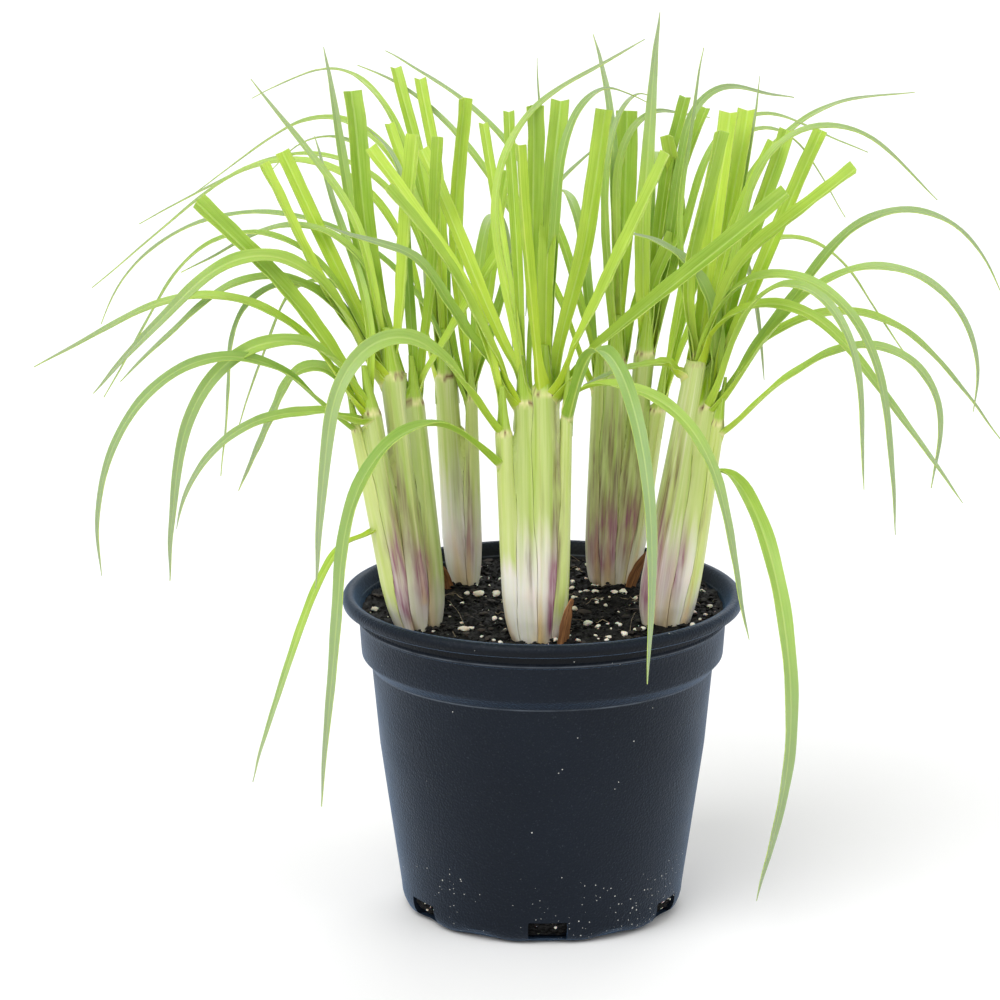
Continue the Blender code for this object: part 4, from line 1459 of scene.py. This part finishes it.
    def fibres(self, finish: bpy.types.Material) -> None:
        """Lay thin root fibres on the soil.

        Args:
            finish: The fibres' material.
        """
        runs = list(self.laid)
        for _ in range(self.strewn):
            angle = self.rng.uniform(0.0, math.tau)
            reach = self.strewn_radius * math.sqrt(self.rng.random())
            x, y = reach * math.cos(angle), reach * math.sin(angle)
            course, length = self.rng.uniform(0.0, math.tau), self.rng.uniform(5.0, 16.0)
            runs.append(((x, y), (x + length * math.cos(course), y + length * math.sin(course))))
        threads = []
        for (x0, y0), (x1, y1) in runs:
            if math.hypot(x1, y1) > self.edge - 3.0:
                continue
            bend = self.rng.uniform(-3.0, 3.0)
            points = []
            for step in range(self.fibre_steps + 1):
                share = step / self.fibre_steps
                arch = math.sin(math.pi * share)
                x = mix(x0, x1, share) + bend * arch * (y1 - y0) / 20.0
                y = mix(y0, y1, share) - bend * arch * (x1 - x0) / 20.0
                points.append(Vector((x, y, self.ground(x, y) + 0.9 + 1.2 * arch)))
            threads.append(self.thread(points, self.rng.uniform(0.10, 0.20)))
        self.dress(Bench.join(threads, "root_fibres"), finish, 60.0)

    @staticmethod
    def thread(points: Sequence[Vector], radius: float) -> bpy.types.Object:
        """Return a thin round thread along points.

        Args:
            points: The places that it runs through, in millimetres.
            radius: Half its thickness, in millimetres.

        Returns:
            The thread, as a mesh.
        """
        bpy.ops.curve.primitive_nurbs_path_add()
        curve = bpy.context.object
        curve.data.splines.clear()
        spline = curve.data.splines.new("POLY")
        spline.points.add(len(points) - 1)
        for point, place in zip(spline.points, points):
            point.co = (*(place * MM), 1.0)
        curve.data.bevel_depth = radius * MM
        curve.data.bevel_resolution = 0
        curve.data.use_fill_caps = True
        Bench.pick(curve)
        bpy.ops.object.convert(target="MESH")
        thread = bpy.context.object
        Bench.settle(thread)
        return thread

    def build(self) -> None:
        """Make the soil and what lies on it."""
        self.bed(SoilFinish().material())
        for litter in LITTERS:
            self.strew(litter)
        self.fibres(FIBRE.material())


@dataclass
class Sheaths:
    """The sheaths wrapped round one stem, which melt into those of the rest of its clump.

    Root depth is how far they reach into the soil, and heart how far the rolled young leaves
    in them stand above the collar. Wrap is how far one sheath stands over the next, and
    crease how softly two stems meet.
    """

    stem: Stem
    clump: tuple[Stem, ...]
    look: StemLook
    root_depth: float = 12.5
    heart: float = 24.0
    open_rim: float = 2.0
    open_depth: float = 8.0
    wrap: float = 0.5
    crease: float = 0.45
    top_depth_ratio: float = 1.15
    around: int = 96
    up: int = 84
    halvings: int = 22
    smooth_under: float = 40.0
    # Pairs of a height and a swelling: heights over the soil, then heights over the collar
    foot_swell: tuple[Spot, ...] = ((-13.0, 0.40), (-8.0, 0.52), (0.0, 0.72), (9.0, 0.92), (22.0, 1.03))
    neck_swell: tuple[Spot, ...] = ((-12.0, 0.98), (-1.0, 1.0), (1.0, 0.86), (8.0, 0.62), (24.0, 0.30))

    def __post_init__(self) -> None:
        """Work out the heights that the sheaths run between."""
        self.bottom = SOIL_LEVEL - self.root_depth
        self.top = self.stem.top[2] + (self.open_rim if self.look.open_top else self.heart - 1.0)

    def section(self, stem: Stem, heights: np.ndarray) -> tuple[np.ndarray, ...]:
        """Return a stem's middle and its two half widths at each height.

        Args:
            stem: The stem.
            heights: The heights, in millimetres.

        Returns:
            The x and y of its middle, and its half widths along x and y.
        """
        top = stem.top[2]
        foot = [(SOIL_LEVEL + rise, swell) for rise, swell in self.foot_swell]
        neck = [(top + rise, swell) for rise, swell in self.neck_swell]
        levels, swells = zip(*foot, (mix(SOIL_LEVEL, top, 0.5), 1.0), *neck)
        share = stem.share(heights)
        x, y = stem.middle(heights)
        drawn = 0.24 * np.exp(-np.maximum(heights - SOIL_LEVEL, -4.0) / 11.0)
        x = x + (MIDDLES[stem.name] - stem.base[0]) * drawn
        half = mix(stem.base_radius, stem.top_radius, share) * np.interp(heights, levels, swells)
        return x, y, half, half * mix(stem.depth, self.top_depth_ratio, share)

    def outside_by(self, x: np.ndarray, y: np.ndarray, heights: np.ndarray) -> np.ndarray:
        """Return how far places lie outside the clump, whose stems melt into each other.

        Args:
            x: The places' x.
            y: The places' y.
            heights: The places' z.

        Returns:
            The distance outside the clump's skin, below 0 inside it.
        """
        total = None
        for stem in self.clump:
            middle_x, middle_y, wide, deep = self.section(stem, heights)
            reach = np.hypot((x - middle_x) / wide, (y - middle_y) / deep)
            away = (reach - 1.0) * wide
            if total is None:
                total = away
                continue
            melt = stem.base_radius * np.interp(heights, MELT_HEIGHTS, MELTS)
            share = np.clip(0.5 + 0.5 * (away - total) / melt, 0.0, 1.0)
            total = away + (total - away) * share - melt * share * (1.0 - share)
        return total

    def skin(self, angles: np.ndarray, heights: np.ndarray) -> np.ndarray:
        """Return places on the stem's surface.

        Args:
            angles: Degrees round the stem, 0 to the front and positive to the right.
            heights: The heights, in millimetres.

        Returns:
            One row of x, y and z for each place, in millimetres.
        """
        stem = self.stem
        place = self.clump.index(stem)
        x, y, wide, deep = self.section(stem, heights)
        turns = np.radians(angles)
        ahead, aside = np.sin(turns) * wide, -np.cos(turns) * deep
        size = np.hypot(ahead, aside)
        ahead, aside = ahead / size, aside / size
        low, high = np.zeros_like(x), wide * 3.0
        for _ in range(self.halvings):
            middle = (low + high) / 2.0
            outside = self.outside_by(x + ahead * middle, y + aside * middle, heights) > 0.0
            high = np.where(outside, middle, high)
            low = np.where(outside, low, middle)
        reach = high + self.overlap(angles, heights) - self.wrap
        if place > 0:
            room = x - self.border(self.clump[place - 1], stem, heights)
            reach = self.pressed(reach, room, -ahead)
        if place < len(self.clump) - 1:
            room = self.border(stem, self.clump[place + 1], heights) - x
            reach = self.pressed(reach, room, ahead)
        return np.stack([x + ahead * reach, y + aside * reach, heights], axis=1)

    def border(self, left: Stem, right: Stem, heights: np.ndarray) -> np.ndarray:
        """Return the x at which two stems of a clump press against each other.

        Args:
            left: The stem on the left.
            right: The stem on the right.
            heights: The heights, in millimetres.

        Returns:
            The x of their border at each height, which wanders a little.
        """
        left_x, _, left_half, _ = self.section(left, heights)
        right_x, _, right_half, _ = self.section(right, heights)
        wander = 0.8 * np.sin(heights / 19.0 + left.base[0])
        wander = wander + 0.3 * np.sin(heights / 6.3 + right.base[0])
        return mix(left_x, right_x, left_half / (left_half + right_half)) + wander

    def pressed(self, reach: np.ndarray, room: np.ndarray, towards: np.ndarray) -> np.ndarray:
        """Return the reach of each ray, held back where it meets the next stem.

        Args:
            reach: How far each ray runs from the stem's middle.
            room: How far off the next stem's face is.
            towards: The share of each ray that points at it.

        Returns:
            The reach, with the corner rounded off.
        """
        least, far = 0.02, 1e3
        limit = np.where(towards > least, room / np.maximum(towards, least), far)
        gap = np.maximum(self.crease - np.abs(reach - limit), 0.0) / self.crease
        return np.minimum(reach, limit) - gap * gap * self.crease / 4.0

    def overlap(self, angles: np.ndarray, heights: np.ndarray) -> np.ndarray:
        """Return how much the wrapped sheaths add to the stem's radius.

        Args:
            angles: Degrees round the stem.
            heights: The heights, in millimetres.

        Returns:
            What they add at each place, in millimetres.
        """
        total = np.zeros_like(heights)
        share = self.stem.share(heights)
        for margin in self.look.margins:
            turned = (angles - margin.angle(share)) % 360.0
            there = np.clip((heights - SOIL_LEVEL - margin.from_height) / 6.0 + 1.0, 0.0, 1.0)
            total += self.wrap * (1.0 - turned / 360.0) * there
        return total / len(self.look.margins) ** 0.5

    def stain(self, angle: float, height: float) -> tuple[float, float, float, float]:
        """Return the colours that stain a place on the stem.

        Args:
            angle: Degrees round the stem.
            height: The height, in millimetres.

        Returns:
            The strength of the purple, the brown and the seam, and how far up the stem it is.
        """
        over = height - SOIL_LEVEL
        share = self.stem.share(height)
        spread = 5.0 + 44.0 * math.exp(-max(over, 0.0) / 11.0)
        seam = 0.0
        for margin in self.look.margins:
            if over < margin.from_height:
                continue
            near = math.exp(-(turned_from(angle, margin.angle(share)) / spread) ** 2)
            seam = max(seam, margin.tan * near * (1.0 - smooth_step(over / 38.0)) + 0.10 * near)
        purple = Streak.total(self.look.purple, angle, over)
        brown = Streak.total(self.look.brown, angle, over)
        return purple, brown, seam, max(share, 0.0)

    def dress(self, angle: float, height: float) -> tuple[float, float, float, float]:
        """Return how a place on the stem differs from plain sheath.

        Args:
            angle: Degrees round the stem.
            height: The height, in millimetres.

        Returns:
            The tone, and the strength of the white foot, the young heart and the dry lip.
        """
        look = self.look
        over, past = height - SOIL_LEVEL, height - self.stem.top[2]
        wander = 7.0 * noise.noise(Vector((angle * 0.02, over * 0.03, len(self.stem.name))))
        white = 1.0 - smooth_step((over + wander - look.white_to) / look.fade / 2.0 + 0.5)
        ragged = 1.4 * noise.noise(Vector((angle * 0.05, 7.0, self.stem.top[0])))
        lip = math.exp(-((past + 1.0 + ragged) / 1.2) ** 2) * (0.35 if look.open_top else 1.0)
        return look.tone, white, smooth_step((past + 2.0) / 4.0), lip

    def place(self, shares: np.ndarray) -> np.ndarray:
        """Return the places of the sheaths' grid, whose end rows close the tube.

        Args:
            shares: The shares round the stem and up it, one row for each place.

        Returns:
            One row of x, y and z for each place, in millimetres.
        """
        cap, up = 1.0 / self.up, shares[:, 1]
        low, high = up < cap / 2.0, up > 1.0 - cap / 2.0
        heights = mix(self.bottom, self.top, np.clip((up - cap) / (1.0 - 2.0 * cap), 0.0, 1.0))
        places = self.skin(180.0 + 360.0 * shares[:, 0], heights)
        x, y, _, _ = self.section(self.stem, heights)
        ends = low | high
        places[ends, 0], places[ends, 1] = x[ends], y[ends]
        if self.look.open_top:
            places[high, 2] -= self.open_depth
        return places

    def build(self, finish: bpy.types.Material) -> None:
        """Make the wrapped stem.

        Args:
            finish: The sheath's material.
        """
        tube = Bench.sheet(self.stem.name + "_sheaths", self.around, self.up)
        shares = Bench.shape_all(tube, self.place)
        spots = [(180.0 + 360.0 * u, mix(self.bottom, self.top, v)) for u, v in shares]
        Bench.paint(tube, "sheath", [self.stain(*spot) for spot in spots])
        Bench.paint(tube, "stem", [self.dress(*spot) for spot in spots])
        Bench.spread_uv(tube, math.tau * self.stem.base_radius, self.top - self.bottom)
        with Bench.editing(tube):
            bpy.ops.mesh.remove_doubles(threshold=1e-6)
            bpy.ops.mesh.normals_make_consistent(inside=False)
        Bench.smooth(tube, self.smooth_under)
        Bench.finish(tube, finish)
        Bench.deliver(tube, "leaf", [self.stem.name])


@dataclass
class Leaf:
    """One leaf blade, which is swept along its own bend from the collar that holds it.

    Nest is 0 for the outermost blade at the collar and 1 for the innermost. Clasp is the
    length that sits in the collar, and flare the length over which it opens flat.
    """

    name: str
    stem: Stem
    blade: Blade
    nest: float
    stem_tone: float
    rng: random.Random
    clasp: float = 9.0
    flare: float = 26.0
    root_offset: float = 3.0
    thickness: float = 0.45
    collar_share: float = 0.25
    foot_slope: float = 88.0
    foot_fold: float = 0.70
    hung_shade: float = 0.28
    hung_age: float = 0.26
    across: int = 8
    along: int = 60
    steps: int = 240
    rows: dict[float, tuple] = field(default_factory=dict)

    def __post_init__(self) -> None:
        """Work out how the collar holds the blade, and draw its small irregularities."""
        stem, blade = self.stem, self.blade
        self.out, self.side = heading(blade.azimuth)
        self.hold = stem.top_radius * mix(1.06, 0.4, self.nest)
        self.grip = 0.9 if blade.down > 4.0 else 1.35
        offset = min(stem.top_radius * 0.5, self.root_offset)
        self.shift = self.out * (self.hold - offset) + stem.axis * mix(-6.0, 4.0, self.nest)
        shade = self.hung_shade if blade.hangs else 0.0
        tone = self.stem_tone * 0.3 + 0.46 - shade + self.rng.uniform(-0.34, 0.34)
        self.tone = min(max(tone, 0.04), 0.98)
        self.wave = [self.rng.uniform(0.0, math.tau) for _ in range(3)]
        self.sway = self.rng.uniform(0.5, 1.3) * blade.habit.sway * blade.length / 200.0
        self.path = self.sweep(offset)

    def sweep(self, offset: float) -> list[Vector]:
        """Return the places that the middle of the blade runs through.

        Args:
            offset: How far from the stem's middle the blade starts.

        Returns:
            The places, evenly spaced from its root to its tip.
        """
        height = self.stem.top[2] - self.blade.down
        path = [Vector((*self.stem.middle(height), height)) + self.out * offset]
        for count in range(self.steps):
            angle = self.blade.slope((count + 0.5) / self.steps)
            course = self.out * math.cos(angle) + UP * math.sin(angle)
            path.append(path[-1] + course * self.blade.length / self.steps)
        return path

    def distance(self, v: float) -> float:
        """Return how far past the collar a share of the grid lies, in millimetres."""
        near = self.clasp + self.flare
        total = self.clasp + self.blade.length
        if v < self.collar_share:
            return -self.clasp + near * v / self.collar_share
        past = (total - near) * (v - self.collar_share) / (1.0 - self.collar_share)
        return -self.clasp + near + past

    def share(self, v: float) -> float:
        """Return the share of the blade's length at which a share of the grid lies."""
        return max(self.distance(v), 0.0) / self.blade.length

    def row(self, distance: float) -> tuple[Vector, Vector, Vector, float, float]:
        """Return the blade's cross section at a distance past the collar.

        Args:
            distance: The distance in millimetres, below 0 in the collar.

        Returns:
            Its middle, the way across it, its normal, its half width and its curl.
        """
        blade, wave = self.blade, self.wave
        share = max(distance, 0.0) / blade.length
        spot = min(share * self.steps, self.steps - 1e-6)
        before = int(spot)
        middle = self.path[before].lerp(self.path[before + 1], spot - before)
        middle = middle + self.shift * (1.0 - smooth_step(share / 0.22))
        if distance < 0.0:
            tucked = self.out * self.hold * 0.22 * smooth_step(-distance / 6.0)
            middle = middle + self.stem.axis * distance - tucked
        turned = smooth_step(distance / 8.0 + 0.5)
        angle = mix(math.radians(self.foot_slope), blade.slope(share), turned)
        envelope = smooth_step(share / 0.25) * smooth_step((1.0 - share) / 0.12)
        face = UP * math.cos(angle) - self.out * math.sin(angle)
        roll = math.radians(blade.turn) * smooth_step(share / 0.35)
        roll += 0.16 * envelope * math.sin(5.0 * share + wave[0])
        normal = face * math.cos(roll) + self.side * math.sin(roll)
        over = self.side * math.cos(roll) - face * math.sin(roll)
        middle = middle + over * self.sway * envelope * math.sin(7.0 * share + wave[1])
        middle = middle + normal * self.sway * 0.7 * envelope * math.sin(9.0 * share + wave[2])
        near = self.clasp + self.flare
        opening = smooth_step((distance + self.clasp) / near)
        half = mix(self.hold * self.grip, blade.width_at(share) / 2.0, opening)
        curl = (1.0 - smooth_step((distance + self.clasp * 0.5) / near)) / self.hold
        return middle, over, normal, half, curl

    def place(self, u: float, v: float) -> Vector:
        """Return the place of a point of the blade's grid.

        Args:
            u: The share across the grid.
            v: The share along the grid.

        Returns:
            The place, in millimetres, on the folded and rippled blade.
        """
        key = round(v, 6)
        if key not in self.rows:
            self.rows[key] = self.row(self.distance(v))
        middle, over, normal, half, curl = self.rows[key]
        habit, share, off = self.blade.habit, self.share(v), 2.0 * u - 1.0
        reach = off * half
        flat, lift = reach, 0.0
        if curl > 1e-4:
            flat, lift = math.sin(reach * curl) / curl, (1.0 - math.cos(reach * curl)) / curl
        fold = mix(self.foot_fold, habit.fold, smooth_step(share / 0.5)) * (1.0 - curl * half * 0.6)
        lift += fold * (math.sqrt(reach * reach + 0.09) - 0.3)
        ripple = 0.10 * habit.sway * half * abs(off) ** 3
        ripple *= math.sin(46.0 * share + self.wave[0] + 2.0 * u)
        return middle + over * flat * (1.0 - fold * 0.25) + normal * (lift + ripple)

    def note(self, u: float, v: float) -> tuple[float, float, float, float]:
        """Return the share across, the age, the tone and the collar at a point of the grid."""
        habit, share = self.blade.habit, self.share(v)
        collar = 0.8 * math.exp(-(self.distance(v) / 1.3) ** 2)
        age = mix(self.hung_age if self.blade.hangs else 0.0, habit.age, share)
        return u, age, self.tone + habit.light * share, collar

    def build(self, finishes: Sequence[bpy.types.Material]) -> bpy.types.Object:
        """Model the blade.

        Args:
            finishes: The upper, lower and edge materials.

        Returns:
            The blade, with its thickness.
        """
        leaf = Bench.sheet(self.name, self.across, self.along)
        shares = Bench.shape(leaf, self.place)
        Bench.paint(leaf, "blade", [self.note(u, v) for u, v in shares])
        Bench.spread_uv(leaf, self.blade.width, self.clasp + self.blade.length)
        Bench.finish(leaf, *finishes)
        Bench.apply(
            leaf, "SOLIDIFY", thickness=self.thickness * MM, offset=0.0,
            material_offset=1, material_offset_rim=2, use_even_offset=True)
        return leaf


@dataclass
class LeafyStem:
    """One stem of a clump: its wrapped sheaths, and the blades that part at its collar."""

    stem: Stem
    clump: tuple[Stem, ...]
    look: StemLook
    smooth_under: float = 55.0

    def build(self, sheath: bpy.types.Material, blade: Sequence[bpy.types.Material]) -> None:
        """Make the stem.

        Args:
            sheath: The sheaths' material.
            blade: The upper, lower and edge materials of the blades.
        """
        Sheaths(self.stem, self.clump, self.look).build(sheath)
        leaves = Bench.join(self.leaves(blade), self.stem.name + "_blades")
        Bench.smooth(leaves, self.smooth_under)
        Bench.deliver(leaves, "leaf", [self.stem.name])

    def leaves(self, finishes: Sequence[bpy.types.Material]) -> list[bpy.types.Object]:
        """Model the blades, the steepest of them innermost.

        Args:
            finishes: The upper, lower and edge materials.

        Returns:
            The blades.
        """
        rng = random.Random(sum(ord(letter) for letter in self.stem.name))
        order = sorted(self.stem.blades, key=lambda blade: abs(90.0 - blade.rise), reverse=True)
        made = []
        for index, blade in enumerate(self.stem.blades):
            name = f"{self.stem.name}_blade_{index}"
            nest = order.index(blade) / max(len(order) - 1, 1)
            leaf = Leaf(name, self.stem, blade, nest, self.look.tone, rng)
            made.append(leaf.build(finishes))
        return made


@dataclass(frozen=True)
class Husk:
    """A dry brown sheath that stands in the soil at the foot of a clump.

    Azimuth is the compass direction that it leans in, and lean the slope of its tip.
    """

    name: str
    place: Spot
    azimuth: float
    length: float
    lean: float
    width: float
    depth: float = 6.0
    rise: float = 82.0
    thickness: float = 0.4
    across: int = 14
    along: int = 28
    smooth_under: float = 50.0

    def spot(self, u: float, v: float) -> Vector:
        """Return the place of a point of the husk's grid.

        Args:
            u: The share across the grid.
            v: The share up the grid.

        Returns:
            The place, in millimetres.
        """
        out, side = heading(self.azimuth)
        root = Vector((*self.place, SOIL_LEVEL - self.depth))
        angle = math.radians(mix(self.rise, self.lean, v))
        middle = root + (out * math.cos(angle) + UP * math.sin(angle)) * self.length * v
        half = self.width / 2.0 * (1.0 - v ** 3.0) ** 0.6 + 0.2
        reach = (2.0 * u - 1.0) * half
        cup = 0.35 * reach * reach / half + 0.25 * math.sin(22.0 * u + 9.0 * v)
        ragged = 0.8 * noise.noise(Vector((u * 6.0, v * 7.0, self.length)))
        face = UP * math.cos(angle) - out * math.sin(angle)
        return middle + side * (reach + ragged * 0.4) + face * (cup + ragged * 0.5)

    def build(self, finish: bpy.types.Material) -> None:
        """Make the husk.

        Args:
            finish: The dry sheath's material.
        """
        husk = Bench.sheet("papery_" + self.name, self.across, self.along)
        Bench.shape(husk, self.spot)
        Bench.spread_uv(husk, self.width, self.length)
        Bench.finish(husk, finish)
        Bench.apply(husk, "SOLIDIFY", thickness=self.thickness * MM, offset=0.0)
        Bench.smooth(husk, self.smooth_under)
        Bench.deliver(husk, "husk", [self.name])


HUSKS = (
    Husk("front_dry_husk", (10.0, -63.0), -40.0, 29.0, 80.0, 8.0),
    Husk("back_left_dry_husk", (-47.0, 35.5), 240.0, 22.0, 64.0, 5.5),
    Husk("back_right_dry_husk", (45.0, 32.5), 320.0, 36.0, 62.0, 9.0),
)


@dataclass(frozen=True)
class Lamp:
    """A large soft light that shines evenly over the whole stage.

    Its place is in metres, and softness is how wide it looks from the stage, in degrees.
    """

    name: str
    place: tuple[float, float, float]
    softness: float
    strength: float

    def hang(self) -> None:
        """Hang the lamp, turned to the middle of the stage."""
        bpy.ops.object.light_add(type="SUN", location=self.place)
        lamp = bpy.context.object
        lamp.name = self.name
        lamp.data.angle = math.radians(self.softness)
        lamp.data.energy = self.strength
        lamp.rotation_euler = (-Vector(self.place)).to_track_quat("-Z", "Y").to_euler()


@dataclass
class Studio:
    """The pale floor, the soft lights and the camera. Its places and sizes are in metres."""

    camera_place: tuple[float, float, float] = (-0.0212, -2.6724, 0.9194)
    camera_tilt: float = 75.13
    lens: float = 200.0
    floor_size: float = 30.0
    floor_level: float = -0.0004
    room_light: float = 0.58
    lamps: tuple[Lamp, ...] = (
        Lamp("key", (-1.2, -1.6, 2.2), 50.0, 2.0),
        Lamp("fill", (2.0, -1.0, 1.2), 50.0, 0.62),
        Lamp("back", (0.4, 2.0, 1.6), 40.0, 0.8),
    )

    def lay_floor(self) -> None:
        """Lay the floor."""
        bpy.ops.mesh.primitive_plane_add(size=self.floor_size, location=(0.0, 0.0, self.floor_level))
        floor = bpy.context.object
        floor.name = "floor"
        Bench.finish(floor, FloorFinish().material())

    def light(self) -> None:
        """Light the room and hang the lamps."""
        world = bpy.data.worlds.new("pale_room")
        world.use_nodes = True
        air = world.node_tree.nodes["Background"]
        air.inputs["Color"].default_value = (1.0, 1.0, 1.0, 1.0)
        air.inputs["Strength"].default_value = self.room_light
        bpy.context.scene.world = world
        bpy.context.scene.view_settings.view_transform = "Standard"
        for lamp in self.lamps:
            lamp.hang()

    def place_camera(self) -> None:
        """Place the camera at the photograph's viewing angle."""
        bpy.ops.object.camera_add(location=self.camera_place)
        camera = bpy.context.object
        camera.rotation_euler = (math.radians(self.camera_tilt), 0.0, 0.0)
        camera.data.lens = self.lens
        camera.data.sensor_width = 36.0
        camera.data.clip_end = 100.0
        bpy.context.scene.camera = camera

    def build(self) -> None:
        """Set the stage."""
        self.lay_floor()
        self.light()
        self.place_camera()


def main() -> None:
    """Build the pot, the soil, the stems, the husks and the studio."""
    logging.basicConfig(level=logging.INFO, format="%(message)s")
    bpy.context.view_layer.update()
    bpy.ops.object.select_all(action="DESELECT")
    Pot().build(PlasticFinish().material())
    Soil().build()
    sheath = SheathFinish().material()
    blade = [UPPER.material(), UNDER.material(), CUT_EDGE.material()]
    for clump in CLUMPS:
        for stem in clump:
            LeafyStem(stem, clump, LOOKS[stem.name]).build(sheath, blade)
    dry = HuskFinish().material()
    for husk in HUSKS:
        husk.build(dry)
    Studio().build()


if __name__ == "__main__":
    main()
